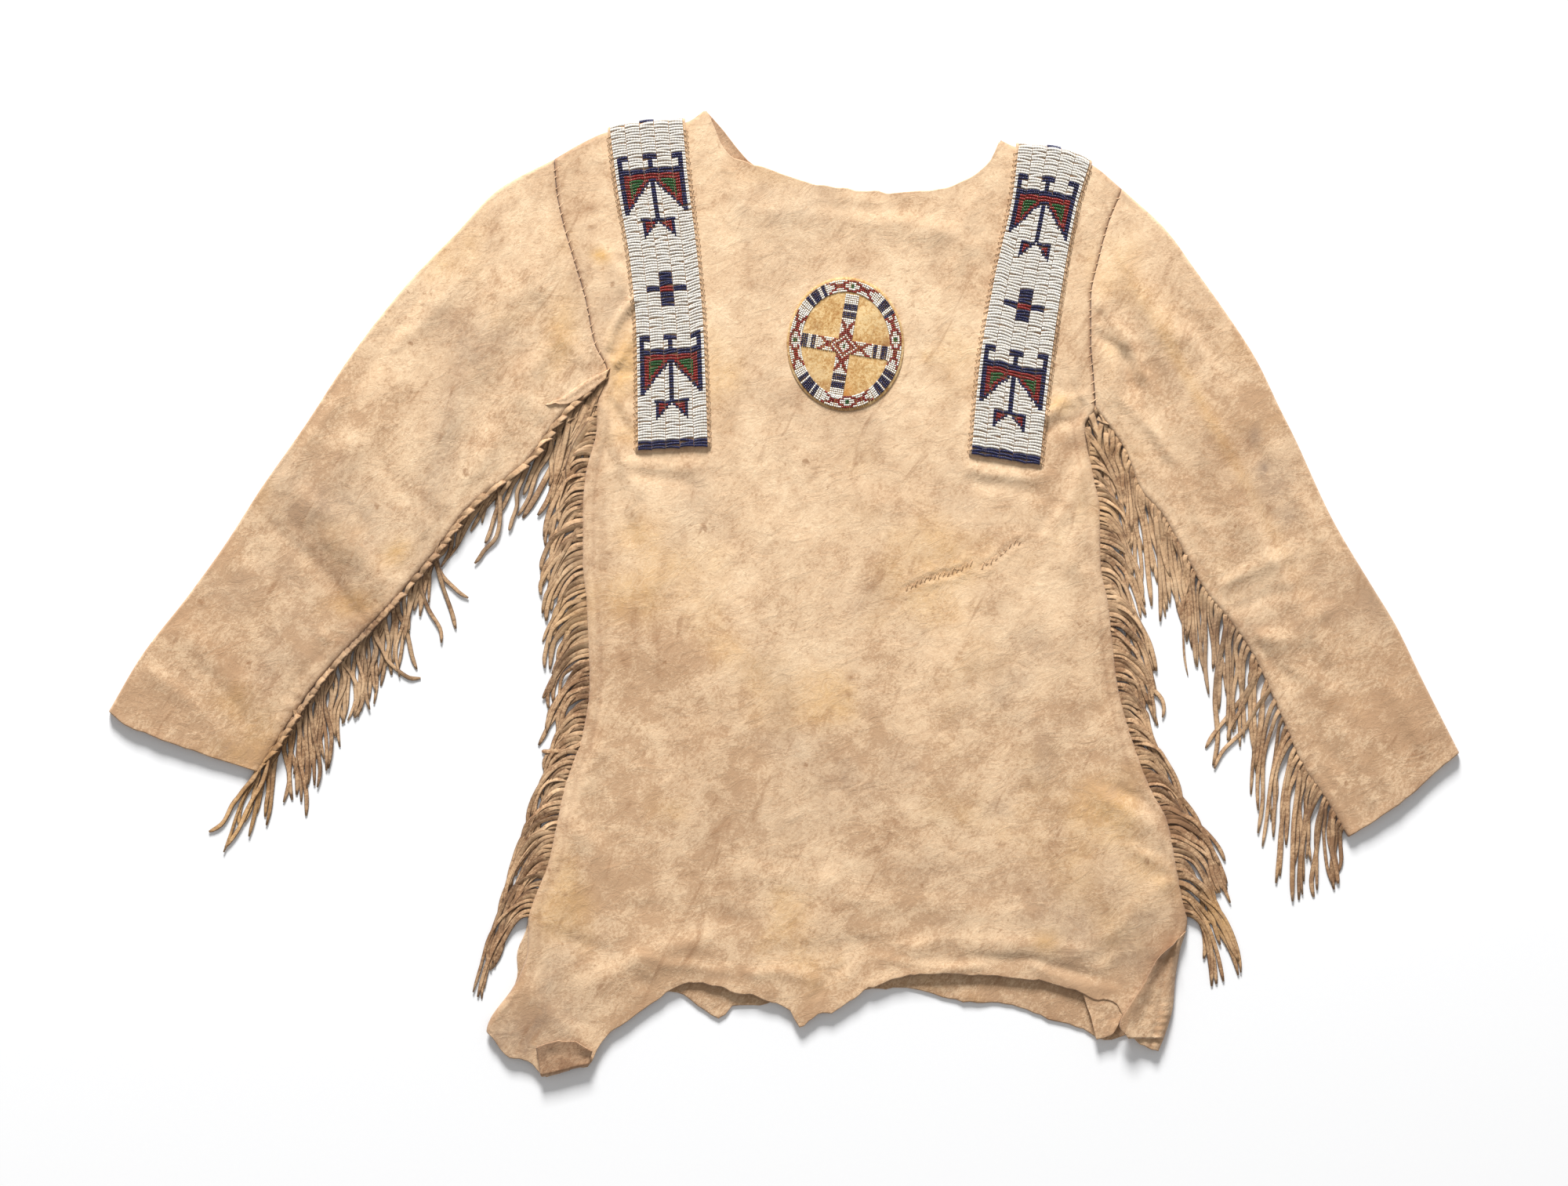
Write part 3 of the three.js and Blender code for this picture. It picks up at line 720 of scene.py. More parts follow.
@dataclass(frozen=True)
class HideFinish:
    """Smoke-tanned hide with a soft nap, mottling, stains and fine creases."""

    name: str
    pale: tuple[int, int, int] = (243, 212, 174)
    middle: tuple[int, int, int] = (226, 192, 154)
    deep: tuple[int, int, int] = (196, 158, 121)
    # Brown of the stains, and the colour that grime and painted shade darken the hide towards
    brown: tuple[int, int, int] = (146, 99, 60)
    ochre: tuple[int, int, int] = (222, 172, 98)
    grey: tuple[int, int, int] = (160, 136, 114)
    crease_depth: float = 0.0009
    grain_depth: float = 0.00012
    crack: float = 0.35
    nap: float = 0.25
    granular: float = 0.22
    # How strongly grime and painted shade darken the hide
    grime: float = 0.55

    def material(self) -> Material:
        """Builds the nodes: tones with painted light falloff, mottling, marks, grime with painted shade,
        pores and relief.

        Returns:
            The material.
        """
        tree = NodeTree(self.name)
        # Channels: tone with painted light falloff, grime with painted shade, and fibre strength
        light, grime_and_shade, fibre = tree.channels("tone")
        brown, ochre, grey = tree.channels("mark")
        tones = self.pale, self.middle, self.deep, self.brown
        pale, middle, deep, stain_and_shade = (tone(*one) for one in tones)
        clouds = tree.noise(17, 5, 0.6, 0.8)
        patches = tree.noise(70, 4, 0.55, 0.5)
        grain = tree.noise(560, 4, 0.75)
        fibres = tree.noise(1, 5, 0.7, 0.8, tree.stretched(0.9, 150, 420))
        shade = light
        for pattern, by in ((clouds, 0.23), (patches, 0.2), (grain, self.granular)):
            shade = tree.plus(shade, tree.swing(pattern, by))
        shade = tree.plus(shade, tree.times(tree.swing(fibres, 0.34), fibre), True)
        colour = tree.blend(tree.window(shade, 0.0, 0.5), deep, middle)
        colour = tree.blend(tree.window(shade, 0.45, 1.0), colour, pale)
        frayed = tree.plus(1.0, tree.window(tree.noise(260, 5, 0.7), 0.25, 0.75, -0.3, 0.3))
        for amount, stain in ((ochre, self.ochre), (grey, self.grey), (brown, self.brown)):
            colour = tree.blend(tree.times(amount, frayed, True), colour, tone(*stain))
        specks = tree.window(tree.noise(170, 2, 0.5, 0, tree.stretched(0.4, 1, 1.3)), 0.64, 0.74, 0, 0.6)
        smears = tree.window(tree.noise(1, 5, 0.65, 1.0, tree.stretched(0.75, 16, 74)), 0.56, 0.76, 0, 0.5)
        colour = tree.blend(tree.most(specks, smears), colour, deep)
        blots = tree.window(tree.noise(105, 6, 0.74, 0.7, tree.stretched(0.5, 1, 1.8)), 0.56, 0.72, 0, 0.55)
        flecks = tree.window(tree.noise(300, 4, 0.6), 0.58, 0.7, 0, 0.5)
        many = tree.window(tree.noise(17, 4, 0.6), 0.48, 0.64, 0.1, 1.0)
        rust = tree.window(tree.noise(1, 4, 0.6, 1.4, tree.stretched(1.1, 14, 60)), 0.58, 0.74, 0, 0.48)
        away = tree.plus(tree.cells(26), tree.swing(tree.noise(230, 3, 0.6), 0.04))
        drops = tree.window(away, 0.02, 0.075, 0.6, 0)
        spots = tree.most(tree.most(rust, drops), tree.times(tree.most(blots, flecks), many))
        colour = tree.blend(spots, colour, stain_and_shade)
        lines = tree.noise(58, 5, 0.66, 0.9, tree.stretched(0.35, 1.0, 1.7))
        crease = tree.window(tree.off_middle(lines), 0.0, 0.03, 1.0, 0.0)
        fold = tree.off_middle(tree.noise(1, 4, 0.6, 1.6, tree.stretched(0.85, 120, 190)))
        crack = tree.times(tree.window(fold, 0.0, 0.03, 1.0, 0.0), fibre)
        worn = tree.times(tree.window(fold, 0.06, 0.2, 0.0, 0.16), fibre)
        cloudy = tree.window(clouds, 0.35, 0.6)
        for line in (worn, tree.times(crease, self.crack)):
            colour = tree.blend(tree.times(line, cloudy), colour, pale)
        colour = tree.blend(tree.times(crack, 0.6 * self.crack, True), colour, stain_and_shade)
        # Grime and painted shade darken the hide towards the brown
        colour = tree.blend(tree.times(grime_and_shade, self.grime, True), colour, stain_and_shade, "MULTIPLY")
        soft = tree.plus(tree.times(lines, 0.7), tree.times(patches, 0.5))
        cuts = tree.times(tree.most(tree.times(crease, 0.5), crack), 0.08)
        normal = tree.relief(tree.math("SUBTRACT", soft, cuts), self.crease_depth)
        tree.give(
            Base_Color=colour, Roughness=tree.window(patches, 0.3, 0.7, 0.78, 0.92),
            Specular_IOR_Level=0.22, Sheen_Weight=self.nap, Sheen_Roughness=0.6,
            Normal=tree.relief(grain, self.grain_depth, 0.8, normal),
        )
        return tree.material


@dataclass(frozen=True)
class BeadFinish:
    """Glass seed beads of one colour, each a little different."""

    name: str
    base: tuple[int, int, int]
    other: tuple[int, int, int]
    rough: float = 0.28
    coat: float = 0.35

    def material(self) -> Material:
        """Builds the nodes: a tint for each bead, random grime, painted shade in the pits between beads and a
        glassy coat.

        Returns:
            The material.
        """
        tree = NodeTree(self.name)
        tint, pit_shade, _ = tree.channels("tint")
        colour = tree.blend(tint, tone(*self.base), tone(*self.other))
        grime = tree.window(tree.noise(120, 4, 0.6), 0.4, 0.75, 0, 0.14)
        colour = tree.blend(grime, colour, tone(176, 148, 118), "MULTIPLY")
        # Painted shade in the pits between beads
        colour = tree.blend(tree.times(pit_shade, 0.6), colour, tone(96, 72, 52), "MULTIPLY")
        gloss = tree.noise(900, 2, 0.5)
        tree.give(
            Base_Color=colour, Roughness=tree.window(gloss, 0.3, 0.7, self.rough - 0.08, self.rough + 0.14),
            Coat_Weight=self.coat, Coat_Roughness=0.15, Normal=tree.relief(gloss, 0.00004, 0.5),
        )
        return tree.material


@dataclass(frozen=True)
class SinewFinish:
    """Split sinew thread, dull and fibrous."""

    name: str
    pale: tuple[int, int, int] = (206, 170, 124)
    dark: tuple[int, int, int] = (120, 86, 54)

    def material(self) -> Material:
        """Builds the nodes: streaks of two tones and a little relief.

        Returns:
            The material.
        """
        tree = NodeTree(self.name)
        streaks = tree.noise(700, 4, 0.6)
        colour = tree.blend(tree.window(streaks, 0.35, 0.7), tone(*self.pale), tone(*self.dark))
        rough, normal = tree.window(streaks, 0.3, 0.7, 0.55, 0.8), tree.relief(streaks, 0.0001, 0.6)
        tree.give(Base_Color=colour, Roughness=rough, Normal=normal)
        return tree.material


@dataclass(frozen=True)
class FloorFinish:
    """Plain white paper floor."""

    name: str = "white_floor"
    shade: tuple[int, int, int] = (250, 250, 251)

    def material(self) -> Material:
        """Builds the nodes: near white with the faintest tooth.

        Returns:
            The material.
        """
        tree = NodeTree(self.name)
        colour = tree.blend(tree.noise(300, 3, 0.5), tone(*self.shade), tone(252, 252, 252))
        tree.give(Base_Color=colour, Roughness=0.95, Specular_IOR_Level=0.1)
        return tree.material


@dataclass
class Finishes:
    """Every material of the shirt, made once."""

    hide: Material
    fringe: Material
    ochre: Material
    beads: list[Material]
    sinew: Material

    @classmethod
    def made(cls) -> "Finishes":
        """Makes the materials.

        Returns:
            All of them.
        """
        return cls(
            hide=HideFinish("tanned_hide").material(),
            # The fringe's dark brown serves its stains and the painted shade on the thongs' sides and roots
            fringe=HideFinish(
                "fringe_hide", pale=(240, 205, 164), middle=(216, 177, 136), deep=(160, 120, 86),
                brown=(76, 46, 24), crack=0.15, nap=0.1, grime=0.8,
            ).material(),
            ochre=HideFinish(
                "ochre_hide", pale=(238, 206, 150), middle=(212, 170, 108), deep=(180, 128, 66),
                brown=(138, 84, 36), ochre=(216, 142, 52), crack=0.05,
                granular=0.45, crease_depth=0.0003, grain_depth=0.0003,
            ).material(),
            beads=[
                BeadFinish("white_beads", (253, 249, 240), (240, 232, 218)).material(),
                BeadFinish("navy_beads", (26, 30, 84), (18, 18, 44)).material(),
                BeadFinish("red_beads", (156, 34, 26), (104, 18, 18)).material(),
                BeadFinish("green_beads", (38, 100, 38), (24, 66, 34)).material(),
            ],
            sinew=SinewFinish("sinew").material(),
        )


# Plan of the body


@dataclass(frozen=True)
class BodyPlan:
    """Outline of the body in plan, which the panels, sleeves, strips and seams share."""

    # Rows of y, left edge and right edge
    sides: Rows = (
        (293, -155, 233), (273, -153.5, 228), (250, -149, 219), (226, -142, 212.5), (199, -134, 207),
        (168, -127.5, 207), (149, -119, 208.5), (125, -126.5, 210), (113, -126.5, 203.5), (80, -134, 209),
        (56, -136, 213.5), (20, -136, 214), (-7, -133.5, 219), (-63, -131.5, 225.5), (-95, -136, 234),
        (-129, -147.5, 246), (-156, -153.5, 259.5), (-182, -159, 264.5), (-208, -169, 269.5),
        (-222, -173, 272.5), (-240, -173, 268), (-262, -180, 264), (-297, -201, 258), (-310, -201, 253),
    )
    shoulder_left: Rows = ((-155, 293), (-138, 303), (-120, 311), (-94, 315.5), (-67, 317.5), (-53, 326.4))
    shoulder_right: Rows = ((146, 306), (157, 301), (183, 298), (208, 289), (228, 273))
    underarm: tuple[float, float] = (149, 125)
    underarm_share: float = 0.27
    neck_share: tuple[float, float] = (0.27, 0.79)
    # How soon the shape of each edge fades inwards
    fade: float = 4

    def edge(self, side: Side, y: Array) -> Array:
        """x of a side edge at each y."""
        return columns_curve(self.sides, 0, 1 if side is Side.LEFT else 2)(y)

    def shoulder(self, x: Array) -> Array:
        """y of the shoulder line at each x, carried straight across the neck.

        Args:
            x: places along x in millimetres.

        Returns:
            y of the line.
        """
        neck = self.shoulder_left[-1][0], self.shoulder_right[0][0]
        left = columns_curve(self.shoulder_left, 0, 1)(np.minimum(x, neck[0]))
        right = columns_curve(self.shoulder_right, 0, 1)(np.maximum(x, neck[1]))
        return mix(left, right, np.clip((np.asarray(x, float) - neck[0]) / (neck[1] - neck[0]), 0, 1))

    def panel(self, neck: Rows, hem: Rows, s: Array, t: Array, ragged: float, seed: int,
              shows: Callable[[Array], Array] = lambda y: 0 * y) -> tuple[Array, Array]:
        """Plan of a body panel.

        Args:
            neck: rows of x and y along the neck.
            hem: rows of x and y along the hem.
            s: fractions across.
            t: fractions down, in the same shape.
            ragged: how rough the cut edges are, in millimetres.
            seed: which roughness.
            shows: how far the left edge stands out at each y.

        Returns:
            x and y of the grid.
        """
        neck_y, hem_y = columns_curve(neck, 0, 1), columns_curve(hem, 0, 1)
        start_left, start_right = self.shoulder_left[0], self.shoulder_right[-1]
        neck_from, neck_to = self.neck_share

        def top(share: Array) -> tuple[Array, Array]:
            """Shoulder, neck and shoulder.

            Args:
                share: fractions from the left.

            Returns:
                x and y.
            """
            x = np.select(
                [share <= neck_from, share >= neck_to],
                [
                    mix(start_left[0], neck[0][0], share / neck_from),
                    mix(neck[-1][0], start_right[0], (share - neck_to) / (1 - neck_to)),
                ],
                mix(neck[0][0], neck[-1][0], (share - neck_from) / (neck_to - neck_from)),
            )
            inside = (x > neck[0][0]) & (x < neck[-1][0])
            rough = ragged * 0.6 * ripple(x, 7, seed) * inside
            return x, np.where(inside, neck_y(x), self.shoulder(x)) + rough

        def bottom(share: Array) -> tuple[Array, Array]:
            """The ragged hem.

            Args:
                share: fractions from the left.

            Returns:
                x and y.
            """
            x = mix(hem[0][0], hem[-1][0], share)
            rough = ripple(x, 11, seed + 3) + 0.5 * ripple(x, 4, seed + 5)
            return x, hem_y(x) + ragged * rough

        def down(side: Side, start: float, under: float, end: float) -> Edge:
            """One side edge, from the shoulder by the underarm to the hem.

            Args:
                side: which edge.
                start: y at the shoulder.
                under: y at the underarm.
                end: y at the hem.

            Returns:
                The edge.
            """
            def found(share: Array) -> tuple[Array, Array]:
                """x and y at each fraction.

                Args:
                    share: fractions from the shoulder.

                Returns:
                    x and y.
                """
                under_share = self.underarm_share
                above = mix(start, under, share / under_share)
                below = mix(under, end, (share - under_share) / (1 - under_share))
                y = np.where(share < under_share, above, below)
                out = shows(y) if side is Side.LEFT else 0
                return self.edge(side, y) - out, y
            return found

        return plan_patch(
            top, bottom,
            down(Side.LEFT, start_left[1], self.underarm[0], hem[0][1]),
            down(Side.RIGHT, start_right[1], self.underarm[1], hem[-1][1]),
            s, t, self.fade,
        )


@dataclass(frozen=True)
class Creases:
    """Ridges and troughs laid into the hide.

    Rows of x and y where a crease starts and ends, its width, its height and how far it bows.
    """

    rows: Rows
    seed: int = 1

    def height(self, x: Array, y: Array) -> Array:
        """Height that the creases add at each place.

        Args:
            x: places along x in millimetres.
            y: places along y.

        Returns:
            Height to add.
        """
        total = np.zeros(np.shape(x))
        for number, (x0, y0, x1, y1, width, height, bow) in enumerate(self.rows):
            run = np.hypot(x1 - x0, y1 - y0)
            unit = (x1 - x0) / run, (y1 - y0) / run
            along = ((x - x0) * unit[0] + (y - y0) * unit[1]) / run
            off = (y - y0) * unit[0] - (x - x0) * unit[1]
            near = (np.abs(off) < 5 * width + abs(bow)) & (along > -1) & (along < 2)
            if not near.any():
                continue
            a, o = along[near], off[near]
            kept = np.clip(a, 0, 1)
            wander = 0.3 * width * ripple(kept * run, 17, self.seed + number)
            side = (o - 4 * bow * kept * (1 - kept) - wander) / (width * (0.75 + 0.35 * np.sin(np.pi * kept)))
            beyond = (a - kept) * run / (1.5 * width)
            uneven = 0.85 + 0.3 * ripple(kept * run, 23, self.seed + 31 + number)
            steep = np.where(side > 0, 1.25, 0.85)
            total[near] += height * uneven * np.exp(-((side * steep) ** 2) - beyond**2)
        return total


def nap_relief(x: Array, y: Array, seed: int, rough: float = 1.0) -> Array:
    """Low unevenness of hide that has been worn and laid flat.

    Args:
        x: places along x in millimetres.
        y: places along y.
        seed: which pattern.
        rough: how strong it is.

    Returns:
        Height to add.
    """
    broad = 0.42 * layered(x, y, 46, seed, 3)
    puckered = 0.16 * layered(x + 4 * lattice(x, y, 20, seed + 2), y, 9, seed + 9, 2)
    return rough * (broad + puckered * (0.6 + 0.8 * lattice(x, y, 60, seed + 4) ** 2))


def rolled(distance: Array, width: float, drop: float) -> Array:
    """How far a rolled edge drops at a distance from the seam."""
    f = 1 - np.clip(distance / width, 0, 1)
    return drop * (1 - np.sqrt(np.maximum(1 - f * f, 0)))


def seam_relief(distance: Array, along: Array, seed: int, pitch: float = 5.2, depth: float = 0.45) -> Array:
    """Groove and gathers beside a sewn seam.

    Args:
        distance: how far each place is from the seam.
        along: how far along the seam it is.
        seed: which gathers.
        pitch: spacing of the stitches that pull them.
        depth: depth of the groove.

    Returns:
        Height to add.
    """
    groove = -depth * bell(distance - 7.5, 1.8)
    phase = 2 * np.pi * along / pitch + 1.4 * ripple(along, 19, seed)
    gather = 0.26 * np.sin(phase) * bell(distance - 4.5, 4.5)
    return groove + gather * (0.7 + 0.5 * ripple(along, 31, seed + 1))


@dataclass(frozen=True)
class Marks:
    """Stains on the hide.

    For each kind, rows of x, y, half lengths along and across, angle in degrees and strength.
    """

    rows: Sequence[tuple[Mark, Rows]] = (
        (Mark.BROWN, (
            (-301, 6, 46, 12, -58, 0.42), (-131, 259, 5, 4, 0, 0.6), (-130, 247, 4, 3, 0, 0.55),
            (49, 226, 7, 5, 0, 0.35), (45, -58, 2.4, 2.2, 0, 0.85), (44, -68, 2.2, 1.8, 0, 0.8),
            (-101, -18, 42, 4, 86, 0.3), (-86, -34, 36, 3, 95, 0.26), (-108, -45, 3, 7, 10, 0.45),
            (300, 96, 22, 12, 40, 0.22), (-123, 40, 5, 90, 2, 0.3), (-380, -40, 50, 24, -55, 0.2),
            (390, -60, 60, 30, -62, 0.18), (200, -40, 60, 12, 80, 0.16), (-60, -120, 70, 14, 60, 0.14),
            (-10, 130, 30, 10, 10, 0.12), (74, 85, 5, 3, 0, 0.35), (150, 60, 30, 5, 35, 0.2),
            (92, 8, 34, 5, 38, 0.24), (-70, 110, 16, 8, 20, 0.25), (196, 100, 16, 8, 60, 0.28),
            (69, 167, 5, 4, 30, 0.6), (22, 180, 5, 3, 60, 0.3), (298, 82, 60, 34, -62, 0.14),
            (-176, -296, 24, 12, 60, 0.22), (254, -246, 30, 12, 80, 0.22),
        )),
        (Mark.OCHRE, (
            (-292, -8, 14, 9, 0, 0.6), (-262, 27, 12, 7, 30, 0.55), (-124, 228, 6, 5, 0, 0.8),
            (-98, 40, 15, 11, 20, 0.35), (177, -236, 10, 8, 0, 0.5), (286, 120, 100, 5, -61, 0.3),
            (97, 160, 5, 4, 0, 0.3), (186, 128, 9, 6, 0, 0.45), (42, 135, 6, 4, 60, 0.6),
            (-150, 176, 26, 10, 78, 0.4), (-110, 150, 30, 9, 80, 0.4), (-95, 108, 24, 7, 8, 0.35),
        )),
        (Mark.GREY, (
            (-229, 104, 85, 13, 78, 0.4), (331, 75, 18, 13, 60, 0.5), (340, 52, 9, 6, 20, 0.5),
            (318, 106, 9, 5, 70, 0.6), (324, 84, 7, 5, 80, 0.6), (262, 150, 90, 6, -60, 0.25),
            (-140, 200, 30, 9, 80, 0.25), (-335, 70, 60, 34, -52, 0.36), (20, -150, 90, 18, 12, 0.16),
            (120, -190, 70, 16, -8, 0.18), (-150, -290, 30, 14, 40, 0.35), (206, -226, 54, 30, 10, 0.4),
            (-186, -300, 20, 15, 20, 0.6), (-158, -266, 36, 9, 68, 0.35),
        )),
    )
    spots: int = 620
    half_size: tuple[float, float] = (440, 310)
    seed: int = 5

    def at(self, x: Array, y: Array) -> Array:
        """Strength of each kind of mark at each place.

        Args:
            x: places along x in millimetres.
            y: places along y.

        Returns:
            An array of places by 3.
        """
        found = np.zeros((len(x), 3))
        fray = 1 + 0.5 * layered(x, y, 7, 91, 3)
        every = [(kind, row) for kind, rows in self.rows for row in rows]
        for kind, (mark_x, mark_y, length, width, angle, strength) in every:
            turn = np.radians(angle)
            along = (x - mark_x) * np.cos(turn) + (y - mark_y) * np.sin(turn)
            across = (y - mark_y) * np.cos(turn) - (x - mark_x) * np.sin(turn)
            reach = (along / length) ** 2 + (across / width) ** 2
            found[:, kind] += strength * np.exp(-1.1 * reach * fray)
        found[:, Mark.BROWN] += self.scattered(x, y)
        dirt = layered(x, y, 58, 33, 4)
        found[:, Mark.GREY] += 0.42 * ease(dirt, 0.1, 0.9)
        found[:, Mark.OCHRE] += 0.4 * ease(layered(x, y, 74, 57, 4), 0.15, 0.9)
        found[:, Mark.BROWN] += 0.2 * ease(layered(x, y, 36, 71, 4), 0.2, 0.9)
        return np.clip(found, 0, 1)

    def scattered(self, x: Array, y: Array) -> Array:
        """Small brown flecks scattered over the hide.

        Args:
            x: places along x in millimetres.
            y: places along y.

        Returns:
            Strength at each place.
        """
        random = np.random.default_rng(self.seed)
        total = np.zeros(len(x))
        order = np.argsort(x)
        sorted_x = x[order]
        for _ in range(self.spots):
            at_x, at_y = (random.uniform(-half, half) for half in self.half_size)
            size, strength = random.uniform(0.9, 2.6), random.uniform(0.14, 0.55)
            longer, turn = random.uniform(1, 3) ** 2, np.radians(random.normal(75, 28))
            reach = 2.5 * size * longer
            near = order[slice(*np.searchsorted(sorted_x, (at_x - reach, at_x + reach)))]
            along = (x[near] - at_x) * np.cos(turn) + (y[near] - at_y) * np.sin(turn)
            off = (y[near] - at_y) * np.cos(turn) - (x[near] - at_x) * np.sin(turn)
            off = off + 0.35 * size * np.sin(along / (1.5 * size))
            shape = np.exp(-((along / (size * longer)) ** 2) - (off / size) ** 2)
            total[near] += strength / np.sqrt(longer) * shape
        return total


MARKS = Marks()
PLAN = BodyPlan()


def tone_with_painted_falloff(x: Array, y: Array, sleeve: bool) -> Array:
    """How light the hide is, with painted light: a painted pool of light on the chest and painted falloff,
    darker towards the hem and cuffs.

    Args:
        x: places along x in millimetres.
        y: places along y.
        sleeve: whether the piece is a sleeve.

    Returns:
        Values round 0.5.
    """
    down = ease(-y, -260, 330)
    # Sleeves: painted falloff, darker towards the cuffs and lighter at the shoulders
    if sleeve:
        return 0.5 - 0.34 * ease(np.abs(x), 200, 430) - 0.12 * down + 0.08 * ease(y, 150, 260)
    # Front: a painted pool of light on the chest and painted falloff towards the hem, over random variation
    centre = np.exp(-(((x - 30) / 130) ** 2) - (((y - 110) / 190) ** 2))
    return 0.47 + 0.21 * centre - 0.28 * down + 0.1 * layered(x, y, 95, 23, 2)


def dress_hide(piece: Piece, finish: Material, slot: Slot, grime_and_shade: Array,
               sleeve: bool = False, fibre: float = 0.35) -> None:
    """Gives a hide piece its finish, its tones with painted light falloff, its grime with painted shade and
    its marks.

    Args:
        piece: the piece.
        finish: its material.
        slot: the record's name of the finish; not used.
        grime_and_shade: grime and painted shade at each point, from 0 to 1.
        sleeve: whether the piece is a sleeve.
        fibre: how strongly the fibres show.
    """
    places = points_of(piece)
    x, y = places[:, 0], places[:, 1]
    fibres = np.full(len(x), fibre) * (1 + 0.7 * layered(x, y, 80, 43, 2))
    paint(piece, "tone", np.stack([tone_with_painted_falloff(x, y, sleeve), np.clip(grime_and_shade, 0, 1), fibres], axis=1))
    paint(piece, "mark", MARKS.at(x, y))
    piece.data.materials.append(finish)


def grid(x: Array, y: Array, z: Array) -> Array:
    """Grid of points, rows by columns by 3."""
    return np.stack([x, y, z], axis=2)


def hide_shell(name: str, outer: Array, inner: Array, finish: Material, grime_and_shade: Array, rim: float,
               under: Array | None = None, bulge: float = 0.35, **looks: bool | float) -> Piece:
    """Makes and dresses a closed wall of hide between two grids.

    Args:
        name: name of the piece.
        outer: grid of points in millimetres.
        inner: grid of the other face.
        finish: its material.
        grime_and_shade: grime and painted shade at the outer grid, from 0 to 1.
        rim: grime on the cut edge.
        under: grime and painted shade at the inner grid, by default the same.
        bulge: how far the cut edge stands out.
        looks: what else dress_hide takes.

    Returns:
        The piece.
    """
    piece = shell(name, outer, inner, bulge)
    cut = np.full(len(piece.data.vertices) - 2 * grime_and_shade.size, rim)
    below = grime_and_shade if under is None else under
    dress_hide(piece, finish, Slot.HIDE, np.concatenate([grime_and_shade.ravel(), below.ravel(), cut]), **looks)
    return piece


# Body panels


FRONT_NECK: Rows = (
    (-53, 326.4), (-47, 314), (-42, 303), (-34, 294), (-23, 290), (0, 282), (17, 277), (42, 273), (80, 270),
    (106, 272), (127, 281), (139, 292), (146, 306),
)
BACK_NECK: Rows = (
    (-53, 326.4), (-38, 309), (-23, 291), (0, 280), (17, 274), (42, 270), (80, 267), (106, 269), (127, 277),
    (139, 288), (146, 306),
)
FRONT_HEM: Rows = (
    (-201, -297), (-186, -312), (-172, -316), (-165, -324), (-162, -326.4), (-146, -322), (-132, -319),
    (-125.5, -307), (-118.5, -297), (-106, -289), (-81, -271), (-65, -264), (-48, -266.5), (-23, -272),
    (3, -281), (11, -293), (22, -286), (42, -279), (58, -268), (80, -259), (106, -259), (131, -260),
    (162, -261), (185, -265), (202, -271), (224, -279), (236, -301), (253, -310),
)
BACK_HEM: Rows = (
    (-201, -288), (-186, -302), (-165, -308), (-132, -306), (-106, -282), (-76, -270), (-63, -277),
    (-52, -285), (-43, -288), (-36, -280), (-16, -278), (3, -273), (22, -274), (42, -271), (60, -267),
    (86, -268.5), (106, -274), (134, -277), (165, -282), (178, -289), (202, -296), (216, -302.5),
    (236, -297), (253, -304),
)


